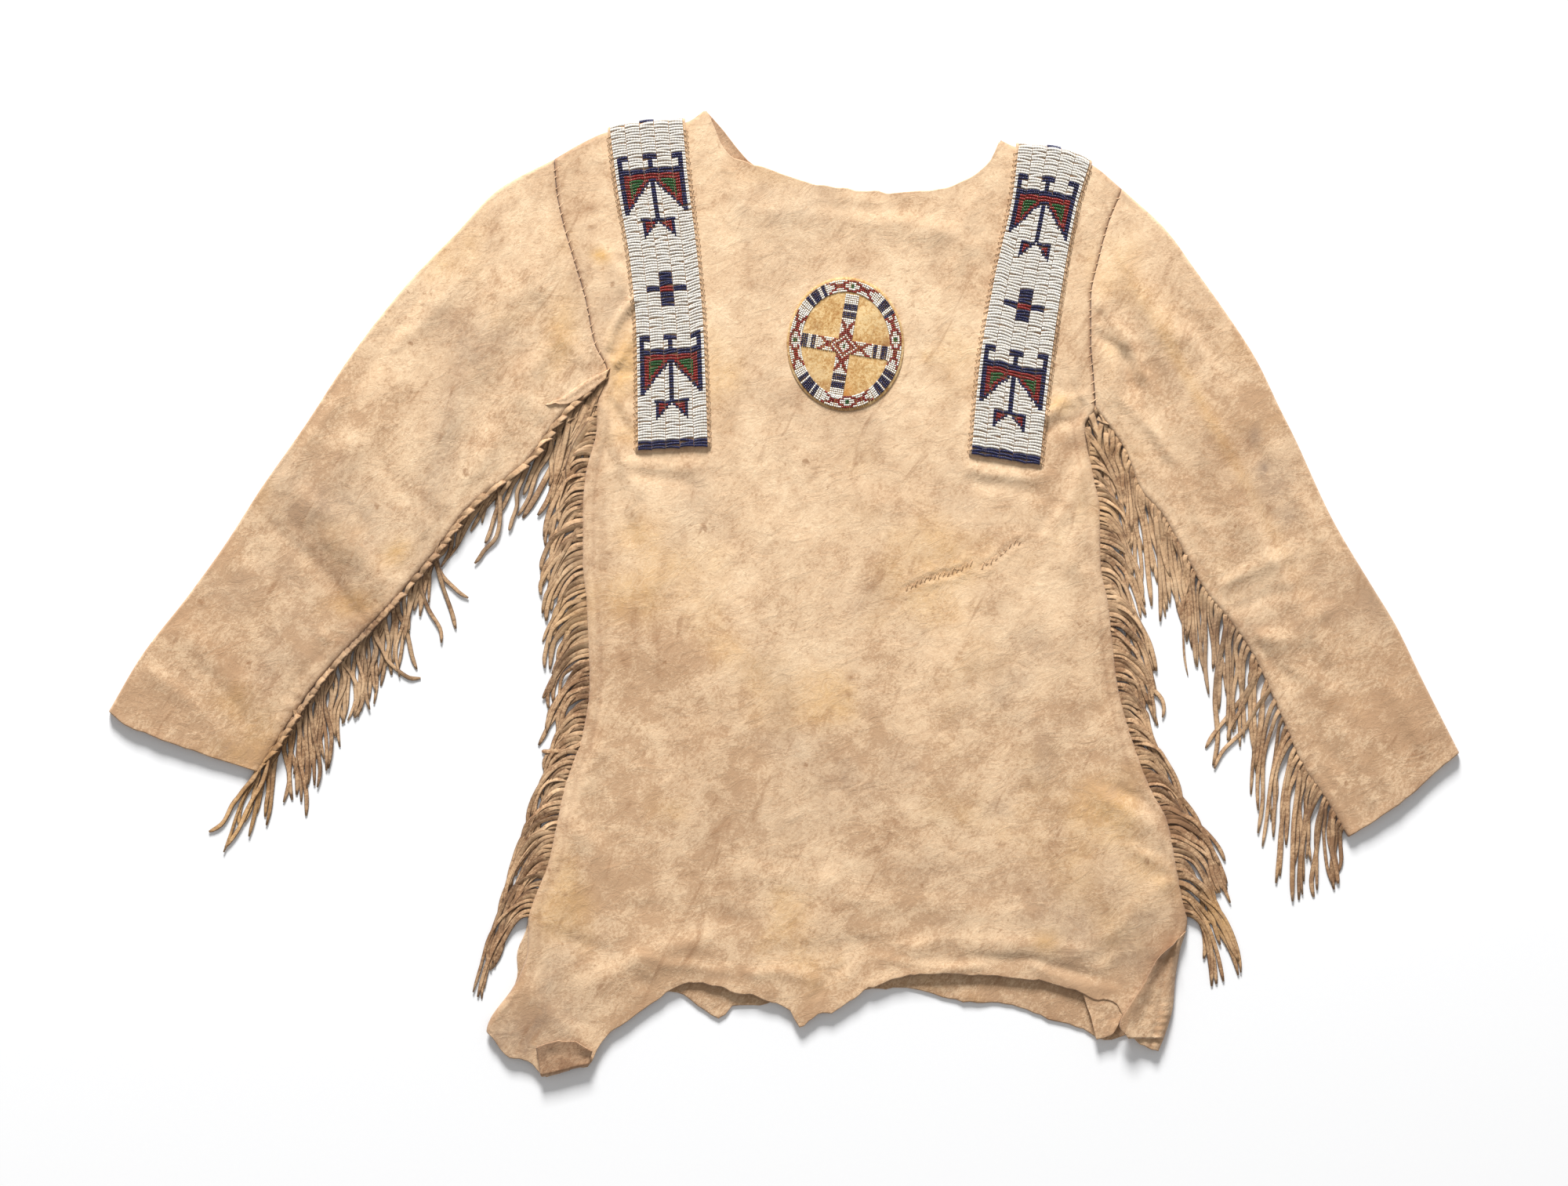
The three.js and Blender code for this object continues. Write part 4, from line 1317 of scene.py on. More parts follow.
@dataclass(frozen=True)
class FrontPanel:
    """The front hide, with its folds, mends, rolled seams and ragged hem."""

    creases: Creases = Creases((
        (-121, 154, -103, 190, 1.8, -1.3, 3), (-120, 146, -102, 166, 1.7, -1.2, -2),
        (-119, 140, -108, 128, 1.6, -1.1, 1), (205, 124, 190, 150, 1.8, -1.3, 3),
        (204, 116, 182, 126, 1.7, -1.2, -2), (206, 108, 196, 84, 1.6, -1.1, 2),
        (-118, 168, -101, 197, 3.8, 2.6, 2), (-117, 151, -101, 176, 3.4, 2.2, -2),
        (-119, 146, -104, 150, 3, -1.3, 1), (-118, 138, -105, 118, 4, 1.8, 2),
        (-114, 128, -107, 96, 4, -1.4, 2), (-116, 226, -106, 196, 4.5, 1.2, 2),
        (190, 212, 196, 150, 5, 1.4, 3), (178, 120, 202, 132, 4, 1.8, 2),
        (176, 108, 200, 118, 3.5, -1.4, 2), (-119, 118, -102, 58, 8, 1.9, 3),
        (209, 92, 190, 56, 7, 1.9, -3), (200, 20, 228, -110, 12, 1.6, 6), (-10, 258, 104, 248, 11, 1.1, 4),
        (-128, -110, -146, -205, 11, 1.5, -5), (-120, -258, -60, -238, 10, 1.7, 3),
        (0, -246, 60, -238, 9, -1.2, 3), (90, -238, 196, -244, 8, 1.7, 4),
        (222, -142, 254, -166, 8, 2.1, 3), (214, -232, 246, -214, 8, 1.6, -3),
        (-30, -20, -60, -150, 19, 1.2, 7), (120, -40, 90, -170, 20, 1.2, -7),
        (-108, 196, -116, 164, 5, -1.3, 2), (-104, 88, -62, 84, 4, 1.2, -2), (-96, 80, -58, 72, 4, -0.9, 2),
        (128, 84, 176, 80, 4, 1.2, -3), (134, 74, 172, 66, 5, -0.9, 2), (-118, 92, -106, 40, 5, -1.0, 3),
        (196, 96, 176, 44, 5, -1.1, 3), (204, 74, 196, 20, 5, 1.2, -2), (186, 140, 204, 112, 4, -1.0, 2),
        (-124, 130, -112, 96, 4, 1.1, -1), (-38, 286, -28, 248, 6, 0.9, 3),
        (128, 262, 118, 226, 6, 0.8, -2), (30, 262, 84, 260, 4, -0.7, -2),
        (-118, 292, -112, 262, 6, 0.7, 0), (-150, -232, -96, -262, 6, -1.1, 4),
        (-176, -262, -140, -300, 7, 1.3, -4), (-190, -278, -160, -262, 5, 1.0, 2),
        (-96, -246, -40, -254, 4, 1.0, -2), (-20, -256, 22, -262, 4, 1.1, 2),
        (22, -270, 40, -254, 4, -0.9, 2), (70, -248, 130, -252, 3.5, 1.2, -2),
        (130, -246, 206, -258, 3.5, -1.1, 3), (168, -252, 222, -268, 4, 1.2, -3),
        (228, -222, 262, -196, 5, 1.4, 3), (216, -252, 244, -240, 4, 1.2, 2),
        (232, -134, 262, -154, 4, -1.3, 2), (240, -176, 262, -186, 4, 1.2, 1),
        (-140, -60, -128, -128, 8, 1.0, 3), (-152, -150, -120, -186, 7, 1.0, 3),
        (60, 60, 160, -10, 16, 0.7, 9), (-40, 90, -90, 10, 14, 0.7, -6), (0, 40, 60, -60, 18, 0.8, 7),
        (-90, -60, -70, -190, 12, -0.8, 8), (150, -90, 140, -200, 13, -0.8, -8),
        (30, -110, 10, -220, 13, -0.8, 6), (-20, -190, 60, -210, 9, 0.8, 5),
        (80, -206, 160, -214, 9, 0.8, -4), (-100, -214, -30, -222, 8, -0.7, 3),
        (60, 250, 130, 236, 7, 0.6, 3), (-46, 250, -30, 150, 8, 0.6, 4), (118, 226, 112, 140, 8, 0.6, -3),
        (216, -60, 204, -130, 7, -0.9, 3), (186, -30, 178, -120, 9, 0.8, -4),
        (204, 40, 212, -20, 6, 0.9, 2),
    ), 11)
    # Rows of x, upper y and lower y along each mended tear
    mends: Sequence[Rows] = (
        ((83, 4, 1), (96, 13, 5), (108, 17, 7.5), (119, 20, 11), (127, 25, 16)),
        ((134, 20, 14), (142, 25, 20), (149, 31, 25), (155, 36, 30), (159, 35, 32)),
    )
    spans: tuple[int, int] = (146, 208)
    roll: tuple[float, float] = (5.5, 1.45)

    def mend_middle(self, rows: Rows) -> SmoothCurve:
        """y of the middle of a mended tear at each x."""
        return SmoothCurve([row[0] for row in rows], [(row[1] + row[2]) / 2 for row in rows])

    def mend_span(self, rows: Rows, x: Array, reach: float) -> Array:
        """Rises to 1 between the ends of a mended tear."""
        start, end = rows[0][0], rows[-1][0]
        return ease(x, start - reach, start + 2) * (1 - ease(x, end - 2, end + reach))

    def mend_relief(self, x: Array, y: Array) -> Array:
        """Puckered troughs where tears were drawn together.

        Args:
            x: places along x in millimetres.
            y: places along y.

        Returns:
            Height to add.
        """
        total = np.zeros(np.shape(x))
        for rows in self.mends:
            inside = self.mend_span(rows, x, 5)
            away = y - self.mend_middle(rows)(x)
            ridge = 1.1 * bell(np.abs(away) - 3.6, 2.0) * (0.8 + 0.5 * np.sin(x * 2.1 + away * 0.8))
            total += inside * (ridge - 1.2 * bell(away, 1.4))
        return total

    def surface(self, x: Array, y: Array) -> tuple[Array, Array]:
        """Upper level with its seams, and how near each place is to a seam.

        Args:
            x: places along x in millimetres.
            y: places along y.

        Returns:
            The level, and grime with painted shade from 0 to 1 beside the seams, edges and mends.
        """
        left = x - PLAN.edge(Side.LEFT, y)
        right = PLAN.edge(Side.RIGHT, y) - x
        side = np.maximum(np.minimum(left, right), 0)
        shoulder = np.maximum(PLAN.shoulder(x) - y, 0)
        neck = ease(x, -56, -40) * (1 - ease(x, 134, 150))
        faded = ease(side, 1.5, 8)
        level = FRONT_TOP + faded * (self.creases.height(x, y) + nap_relief(x, y, 7))
        level = level + faded * self.mend_relief(x, y)
        arm = ease(y, 118, 150)
        level = level - (1 - 0.6 * arm) * rolled(side, *self.roll)
        level = level + (1.5 - 1.1 * arm) * seam_relief(side, y, 3)
        level = level - (1 - neck) * (rolled(shoulder, 4.5, 1.3) + 0.3 * bell(shoulder - 6, 1.6))
        # Painted shade in the notches that the armhole's stitches pull into the hide and in the groove beside
        # the side seams
        notch = arm * (0.5 + 0.5 * np.sin(y * 2 * np.pi / SEWING_PITCH + 0.8)) ** 2 * bell(side, 1.7)
        groove = (1 - arm) * 0.4 * bell(side - 7.5, 1.3)
        # Darker along the side and shoulder edges, plus painted shade in the notches, the groove and along
        # the armhole's seam line
        grime = (0.55 - 0.25 * arm) * np.exp(-side / 3.2) + 0.35 * (1 - neck) * np.exp(-shoulder / 3)
        grime = grime + 0.9 * notch + groove + 0.6 * arm * bell(side, 1.1)
        # Painted shade along the troughs of the mended tears
        for rows in self.mends:
            grime = grime + 0.35 * self.mend_span(rows, x, 3) * bell(y - self.mend_middle(rows)(x), 1.5)
        return np.clip(level, WELT_TOP + 0.35, FRONT_HIGHEST), grime

    def build(self, finishes: Finishes) -> Piece:
        """Builds and dresses the front.

        Args:
            finishes: the shirt's materials.

        Returns:
            The front hide.
        """
        across = edge_spacing(self.spans[0], (0.0012, 0.003, 0.0055, 0.009))
        down = edge_spacing(self.spans[1], (0.0008, 0.002, 0.0034))
        s, t = paired(across, down)
        x, y = PLAN.panel(FRONT_NECK, FRONT_HEM, s, t, 1.7, 41)
        upper, grime = self.surface(x, y)
        lift = 0.8 * bell(1 - t, 0.012) * (0.5 + lattice(x, y, 33, 12))
        upper = np.clip(upper + lift, 0, FRONT_HIGHEST)
        lower = np.maximum(upper - HIDE, WELT_TOP + 0.12)
        upper = np.maximum(upper, lower + 0.35)
        grime_and_shade = grime + 0.3 * np.exp(-np.minimum(np.minimum(t, 1 - t) * PANEL_LENGTH, 40) / 2.2)
        front = hide_shell("front_hide", grid(x, y, upper), grid(x, y, lower), finishes.hide, grime_and_shade, 0.75)
        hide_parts("front_panel")
        return front


@dataclass(frozen=True)
class BackPanel:
    """The back hide, flat on the surface and a little longer than the front in places."""

    spans: tuple[int, int] = (96, 132)
    lift: float = 1.5
    shows: tuple[float, float, float] = (-244, 12, 7)
    cover: tuple[float, float, float] = (10, 21, 0.45)

    def rise(self, x: Array, y: Array, strips: Sequence["Strip"]) -> Array:
        """How far the back is lifted by the strips under it and by the shoulder seams.

        Args:
            x: places along x in millimetres.
            y: places along y.
            strips: the strips.

        Returns:
            Height of its lower face.
        """
        near = np.full(np.shape(x), 1e3)
        for strip in strips:
            left, right = strip.edges(y)
            beside = np.maximum(np.maximum(left - x, x - right), 0)
            below = np.maximum(strip.rows[0][2] - y, 0)
            near = np.minimum(near, np.maximum(beside, self.cover[2] * below))
        covered = 1 - ease(near, self.cover[0], self.cover[1])
        seam = 1 - ease(PLAN.shoulder(x) - y, 2, 27)
        return self.lift * np.maximum(seam, covered)

    def build(self, finishes: Finishes, strips: Sequence["Strip"]) -> Piece:
        """Builds and dresses the back.

        Args:
            finishes: the shirt's materials.
            strips: the strips that run on under it.

        Returns:
            The back hide.
        """
        across = edge_spacing(self.spans[0], (0.0015, 0.004))
        down = edge_spacing(self.spans[1], (0.001, 0.0025))
        s, t = paired(across, down)
        shows_y, length, reach = self.shows
        x, y = PLAN.panel(
            BACK_NECK, BACK_HEM, s, t, 1.2, 77,
            shows=lambda level: reach * bell(level - shows_y, length),
        )
        lower = self.rise(x, y, strips)
        hem = bell(1 - t, 0.02)
        curl = 1.1 * hem * np.maximum(lattice(x, y, 21, 8), 0) * (1 - ease(t, 0.9995, 1.0001) * 0.4)
        upper = lower + HIDE + 0.12 * lattice(x, y, 8, 4) + curl
        lower = lower + 0.8 * curl
        # Darker near the hem, and painted shade along the top edge, where the sliver of back under the
        # front's neck edge lies in shade
        grime_and_shade = 0.28 * np.exp(-(1 - t) * PANEL_LENGTH / 4) + 0.95 * np.exp(-t * PANEL_LENGTH / 12)
        back = hide_shell(
            "back_hide", grid(x, y, upper), grid(x, y, lower), finishes.hide,
            np.clip(grime_and_shade + 0.12, 0, 1), 0.8, grime_and_shade, fibre=0.9,
        )
        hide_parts("back_panel")
        return back


# Sleeves


@dataclass(frozen=True)
class Sleeve:
    """One sleeve: a hide folded along its outer edge and sewn along its inner one."""

    name: str
    node: str
    side: Side
    # Rows of the fold's x and y and the seam's x and y, from the armhole to the cuff
    rows: Rows
    cuff: Rows
    creases: Creases
    flat: tuple[float, float]
    area: float
    seed: int
    spans: tuple[int, int, int] = (52, 8, 122)
    gap: float = 0.7
    reach_of_roll: float = 6.0
    samples: int = 257

    def plan(self, s: Array, t: Array) -> tuple[Array, Array]:
        """Plan from the fold at s = 0 to the seam at s = 1, down from the armhole.

        Args:
            s: fractions across.
            t: fractions down.

        Returns:
            x and y in the shape of the fractions.
        """
        first = self.rows[0]

        def armhole(share: Array) -> tuple[Array, Array]:
            """The edge that is sewn to the body."""
            y = mix(first[1], first[3], share)
            return PLAN.edge(self.side, y), y

        def cuff(share: Array) -> tuple[Array, Array]:
            """The cut edge at the wrist, a little rough.

            Args:
                share: fractions from the fold.

            Returns:
                x and y.
            """
            x, y = walk(self.cuff, 0, 1)(share)
            rough = 0.7 * ripple(share * 170, 9, self.seed)
            fade = np.clip(4 * share * (1 - share), 0, 1)
            return x + rough * fade * 0.3, y + rough * fade

        return plan_patch(armhole, cuff, walk(self.rows, 0, 1), walk(self.rows, 2, 3), s, t)

    def section(self) -> tuple[Array, Array, Array]:
        """Places along a section: share of the width, angle round the fold and layer.

        Returns:
            Shares from the seam to the fold and back, angles in radians where the fold turns
            and nan elsewhere, and 0 for the lower layer or 1 for the upper one.
        """
        wide, round_fold, _ = self.spans
        flat = edge_spacing(wide, (0.006, 0.014, 0.024))
        lower = np.flip(flat)
        angles = np.linspace(-np.pi / 2, np.pi / 2, round_fold + 1)[1:-1]
        share = np.concatenate([lower, np.zeros(len(angles)), flat])
        angle = np.concatenate([np.full(len(lower), np.nan), angles, np.full(len(flat), np.nan)])
        layer = np.concatenate([np.zeros(len(lower)), np.zeros(len(angles)), np.ones(len(flat))])
        return share, angle, layer

    def build(self, finishes: Finishes) -> Piece:
        """Builds and dresses the sleeve.

        Args:
            finishes: the shirt's materials.

        Returns:
            The sleeve.
        """
        share, angle, layer = self.section()
        down = edge_spacing(self.spans[2], (0.0015, 0.004, 0.0065))
        line = np.linspace(0, 1, self.samples)
        fold_x, fold_y = self.plan(0 * line, line)
        seam_x, seam_y = self.plan(0 * line + 1, line)
        width = np.interp(down, line, np.hypot(fold_x - seam_x, fold_y - seam_y))
        length = np.hypot(self.rows[0][0] - self.rows[-1][0], self.rows[0][1] - self.rows[-1][1])
        turn, bent = ~np.isnan(angle)[:, None], np.nan_to_num(angle)[:, None]
        grids = []
        for wall in (0.0, HIDE):
            radius = FOLD_RADIUS - wall
            inward = FOLD_RADIUS + share[:, None] * (width[None, :] - FOLD_RADIUS)
            inward = np.where(turn, FOLD_RADIUS - radius * np.cos(bent), inward)
            s = inward / width[None, :]
            t = np.broadcast_to(down[None, :], s.shape)
            x, y = self.plan(s, t)
            x = x + self.side * self.gap
            seam = np.maximum(width[None, :] - inward, 0)
            arm = t * length
            faded = ease(inward, FOLD_RADIUS, 13) * ease(seam, 3, 13) * ease(arm, 1, 9)
            form = self.creases.height(x, y) + nap_relief(x, y, self.seed, 1.15)
            swell = ease(inward, 0, 16) * ease(seam, 0, 16) * 0.25
            top = FRONT_TOP + faded * form + swell
            top = top - rolled(seam, self.reach_of_roll, 1.5) + seam_relief(seam, t * length, self.seed + 1)
            top = top - rolled(arm, 4, 0.6) + 0.5 * seam_relief(arm, s * width[None, :], self.seed + 2, 6.4)
            cuff_lift = 0.7 * bell((1 - t) * length, 5) * (0.4 + lattice(x, y, 27, self.seed + 5))
            top = np.clip(top + cuff_lift, WELT_TOP + 0.45, FRONT_HIGHEST)
            upper = top if wall == 0 else np.maximum(top - HIDE, WELT_TOP + 0.1)
            rounded = FOLD_RADIUS + radius * np.sin(bent)
            z = np.where(turn, rounded, np.where(layer[:, None] > 0, upper, wall))
            grids.append(grid(x, y, np.broadcast_to(z, x.shape)))
            if wall == 0:
                grime = 0.5 * np.exp(-seam / 3.2) + 0.3 * np.exp(-arm / 2.6) + 0.16 * np.exp(-inward / 9)
                grime = grime + 0.3 * np.exp(-(1 - t) * length / 3) + 0.1 * ease(t, 0.8, 1)
        sleeve = hide_shell(self.name, *grids, finishes.hide, grime, 0.75, sleeve=True, fibre=0.6)
        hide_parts(self.node)
        return sleeve


SLEEVES = (
    Sleeve(
        "sleeve_hide_left", "sleeve_left", Side.LEFT,
        (
            (-155, 293, -119, 149), (-192, 273, -150, 120), (-222, 242, -175, 87), (-254, 209, -213, 57),
            (-291, 162, -236, 27), (-324, 112, -267, -9), (-354, 69, -283, -26), (-377, 33, -302, -45),
            (-403, -3, -319, -65), (-434, -43, -336, -90), (-455.8, -80, -355, -121),
        ),
        ((-455.8, -80), (-443, -90), (-417, -100), (-392, -109), (-355, -121)),
        Creases((
            (-341, 42, -280, -30, 6, -1.5, 4), (-318, 60, -262, -8, 9, 2.4, 4),
            (-150, 236, -228, 118, 15, 1.8, -6), (-236, 196, -300, 84, 13, 1.1, 5),
            (-400, -34, -346, -88, 11, 1.6, 4), (-160, 160, -205, 84, 9, 1.5, -4),
            (-332, 46, -310, 26, 4, -1.0, 1), (-300, 2, -276, -36, 4, -1.1, 2),
            (-344, 84, -300, 30, 8, 1.0, -3), (-170, 200, -150, 150, 7, -1.0, 3),
            (-182, 236, -160, 190, 9, 0.9, 3), (-212, 150, -188, 96, 6, -0.9, 3),
            (-250, 130, -228, 60, 9, 0.9, -4), (-270, 90, -250, 40, 6, -0.8, 2),
            (-370, 20, -330, -40, 12, 0.9, 5), (-420, -60, -380, -96, 6, 0.9, 3),
            (-392, -52, -366, -86, 5, -0.9, 2), (-216, 214, -262, 168, 6, 0.8, 3),
            (-250, 196, -286, 142, 5, -0.8, 3), (-300, 130, -330, 84, 6, 0.9, -3),
            (-430, -52, -404, -70, 5, 0.8, 1), (-292, 60, -262, 20, 7, -0.9, -3),
            (-156, 176, -136, 158, 4, 1.1, 1), (-176, 132, -160, 118, 5, 1.0, 1),
            (-250, 54, -230, 36, 5, 1.1, 1), (-310, -30, -296, -44, 4, 1.1, 1),
        ), 61),
        flat=(0.395, 0.435), area=0.105, seed=101,
    ),
    Sleeve(
        "sleeve_hide_right", "sleeve_right", Side.RIGHT,
        (
            (228, 273, 210, 125), (258, 245, 230, 96), (277, 219, 241, 69), (297, 191, 255, 53),
            (319, 157, 268, 30), (334, 126, 285, 0), (345, 104, 299, -17), (370, 50, 316, -41),
            (396, 6, 336, -84), (413, -22, 350, -117), (431, -59, 364, -137), (455.8, -108, 381, -165),
        ),
        ((455.8, -108), (440, -121), (421, -138), (403, -151), (381, -165)),
        Creases((
            (216, 224, 226, 140, 8, 2.2, 3), (246, 196, 304, 60, 14, 2.4, 6),
            (304, 60, 356, -28, 12, 1.9, 4), (294, -16, 338, 14, 7, -1.2, 3),
            (308, -38, 362, -14, 7, 2, -3), (362, -60, 402, -120, 11, 1.5, 4),
            (209, 190, 222, 178, 4, -1.8, 2), (214, 173, 236, 140, 5, -2.2, 5),
            (222, 178, 242, 150, 5, 2.4, 4), (232, 206, 262, 130, 7, -1.0, -4),
            (230, 128, 256, 96, 5, 1.2, 3), (244, 110, 268, 62, 5, -1.0, 3), (300, 6, 342, 26, 4, 1.3, 3),
            (302, -14, 350, 4, 4, -1.2, 3), (306, -26, 352, -30, 4, 1.1, -3),
            (314, -40, 344, -58, 5, -1.0, 2), (336, 76, 376, 10, 8, 1.0, 4), (320, 96, 350, 40, 5, -0.9, 3),
            (386, -40, 420, -96, 8, -0.8, 3), (278, 168, 306, 118, 7, 1.0, 3),
            (270, 196, 290, 160, 5, -0.8, 2), (376, -92, 396, -136, 6, 1.1, 2),
            (404, -60, 430, -100, 6, 0.9, 3), (340, -60, 372, -112, 6, -0.9, -3),
            (330, 20, 366, -44, 6, 0.9, 3), (288, 40, 272, 70, 5, 1.0, 2), (252, 160, 280, 96, 6, 1.0, 3),
        ), 83),
        flat=(0.36, 0.45), area=0.084, seed=131,
    ),
)


# Beadwork


# Across, along and up at the points of one stitch over a strip's edge
WHIP_STITCH = np.array([
    (-1.3, -1.05, -1.2), (-0.4, -0.5, 0.2), (0.5, 0.25, 0.45), (1.2, 0.8, 0.3), (1.6, 1.0, -0.3),
])


def half_barrels(rings: int) -> tuple[Array, Array, Array]:
    """One bead's upper half: a barrel whose hole lies along the row.

    Args:
        rings: number of rings of points along the hole.

    Returns:
        Offsets along the hole, across it and up, for a bead 1 long and 2 across; its faces;
        and the painted shade at each point, strongest in the pits between beads.
    """
    along = np.linspace(-0.5, 0.5, rings) if rings < 4 else np.array([-0.5, -0.27, 0.27, 0.5])
    pinched = (np.abs(along) > 0.4) & (rings > 2)
    radius = np.where(pinched, 0.5, 1.0)
    angles = np.linspace(np.pi, 0, BEAD_POINTS)
    offsets = np.stack([
        np.repeat(along, BEAD_POINTS),
        np.outer(radius, np.cos(angles)).ravel(),
        np.outer(radius, np.sin(angles)).ravel(),
    ], axis=1)
    # Painted shade at each bead's lower sides and pinched ends, where beads meet
    low = np.tile(np.array([0.8, 0.1, 0.0, 0.1, 0.8]), rings)
    return offsets, grid_quads(rings, BEAD_POINTS), np.maximum(low, 0.8 * np.repeat(pinched, BEAD_POINTS))


def bead_group(points: Array, quads: Array, pit_shade: Array, colours: Array, seed: int) -> BeadGroup:
    """Numbers the faces and tints of many beads that share one form.

    Args:
        points: beads by points by 3.
        quads: faces of one bead.
        pit_shade: painted shade at each point of a bead, strongest in the pits between beads.
        colours: colour of each bead.
        seed: which tints.

    Returns:
        All points, all faces, the paint at each point and the material of each face.
    """
    beads, each = points.shape[:2]
    faces = (quads[None] + each * np.arange(beads)[:, None, None]).reshape(-1, 4)
    random = np.random.default_rng(seed)
    tint = np.clip(random.normal(0.35, 0.28, beads), 0, 1)
    painted = np.zeros((beads, each, 3))
    painted[:, :, 0] = tint[:, None]
    painted[:, :, 1] = pit_shade[None, :]
    return points.reshape(-1, 3), faces, painted.reshape(-1, 3), np.repeat(colours, len(quads))


def joined_beads(name: str, groups: Sequence[BeadGroup], finishes: Finishes) -> Piece:
    """Joins groups of beads into one piece.

    Args:
        name: name of the piece.
        groups: what bead_group gives for each group.
        finishes: the shirt's materials.

    Returns:
        The beadwork.
    """
    starts = np.cumsum([0] + [len(group[0]) for group in groups])
    points = np.concatenate([group[0] for group in groups])
    faces = [group[1] + start for group, start in zip(groups, starts)]
    piece = new_piece(name, points, [np.concatenate(faces)])
    paint(piece, "tint", np.concatenate([group[2] for group in groups]))
    for material in finishes.beads:
        piece.data.materials.append(material)
    chosen = np.concatenate([group[3] for group in groups]).astype(np.int32)
    piece.data.polygons.foreach_set("material_index", chosen)
    return piece


@dataclass(frozen=True)
class LaneChart:
    """Figures of the lane stitch, drawn by rule from their sizes in beads and rows."""

    lanes: int = 5
    lane_beads: int = 9
    band: int = 3
    figure_rows: float = 31.0
    half_width: float = 20.0
    rim: float = 2.5
    wing_slope: float = 1.55
    tail_half: float = 11.0
    cross_rows: int = 12
    # Bottom row and number of rows of each winged figure, and bottom row of each cross
    figures: Rows = ((9, 31), (73, 31))
    crosses: Sequence[int] = (50, 115)

    @property
    def columns(self) -> int:
        """Beads from edge to edge."""
        return self.lanes * self.lane_beads

    def figure(self, down: Array, off: Array) -> Array:
        """Colours of a winged figure.

        Args:
            down: rows below its top.
            off: beads from its middle, without sign.

        Returns:
            The colour of each bead.
        """
        inner = self.wing_slope * (down - 8.5)
        tail_inner = 1.65 * (down - 23.4)
        outer_rim = self.half_width - self.rim
        stem = off <= 1.2
        wing = between(down, 9, 21) & (off <= self.half_width) & (off >= inner)
        tail = (down >= 23) & (off <= self.tail_half - 0.1 * (down - 23)) & (off >= tail_inner)
        inside = off < outer_rim
        navy = (
            ((down < 2) & (off <= self.half_width) & ((off >= 13.5) | (off <= 4.6)))
            | ((down < 5) & (off <= self.half_width) & ((off >= outer_rim + 0.4) | stem))
            | (between(down, 5, 7) & (off <= self.half_width))
            | (between(down, 7, 9) & (off <= self.half_width) & ~inside)
            | (wing & (~inside | (off <= inner + 2)))
            | (between(down, 9, 23) & stem)
            | (tail & ((down < 24) | (off <= tail_inner + 2) | (off >= 8.4)))
        )
        red = (
            (between(down, 7, 9) & inside)
            | (wing & ((off >= outer_rim - 3) | (off <= inner + 4.6)))
            | tail
        )
        return np.select([navy, red, wing], [Bead.NAVY, Bead.RED, Bead.GREEN], Bead.WHITE)

    def cross(self, down: Array, off: Array) -> Array:
        """Colours of a cross: one lane wide, with arms three lanes wide and a red middle.

        Args:
            down: rows below its top.
            off: beads from its middle, without sign.

        Returns:
            The colour of each bead.
        """
        half = self.lane_beads / 2
        red = between(down, 5, 6.5) & (off <= half)
        navy = (off <= half) | (between(down, 5, 7) & (off <= 3 * half))
        return np.select([red, navy], [Bead.RED, Bead.NAVY], Bead.WHITE)

    def colours(self, row: Array, column: Array) -> Array:
        """Colour of each bead.

        Args:
            row: rows from the lower end.
            column: beads from the left edge.

        Returns:
            The colours.
        """
        off = np.abs(column + 0.5 - self.columns / 2)
        found = np.where(row < self.band, Bead.NAVY, Bead.WHITE)
        for bottom, rows in self.figures:
            down = (bottom + rows - 1 - row) * self.figure_rows / rows
            here = between(row, bottom, bottom + rows)
            found = np.where(here, self.figure(down, off), found)
        for bottom in self.crosses:
            down = bottom + self.cross_rows - 1 - row
            here = between(row, bottom, bottom + self.cross_rows)
            found = np.where(here, self.cross(down, off), found)
        return found


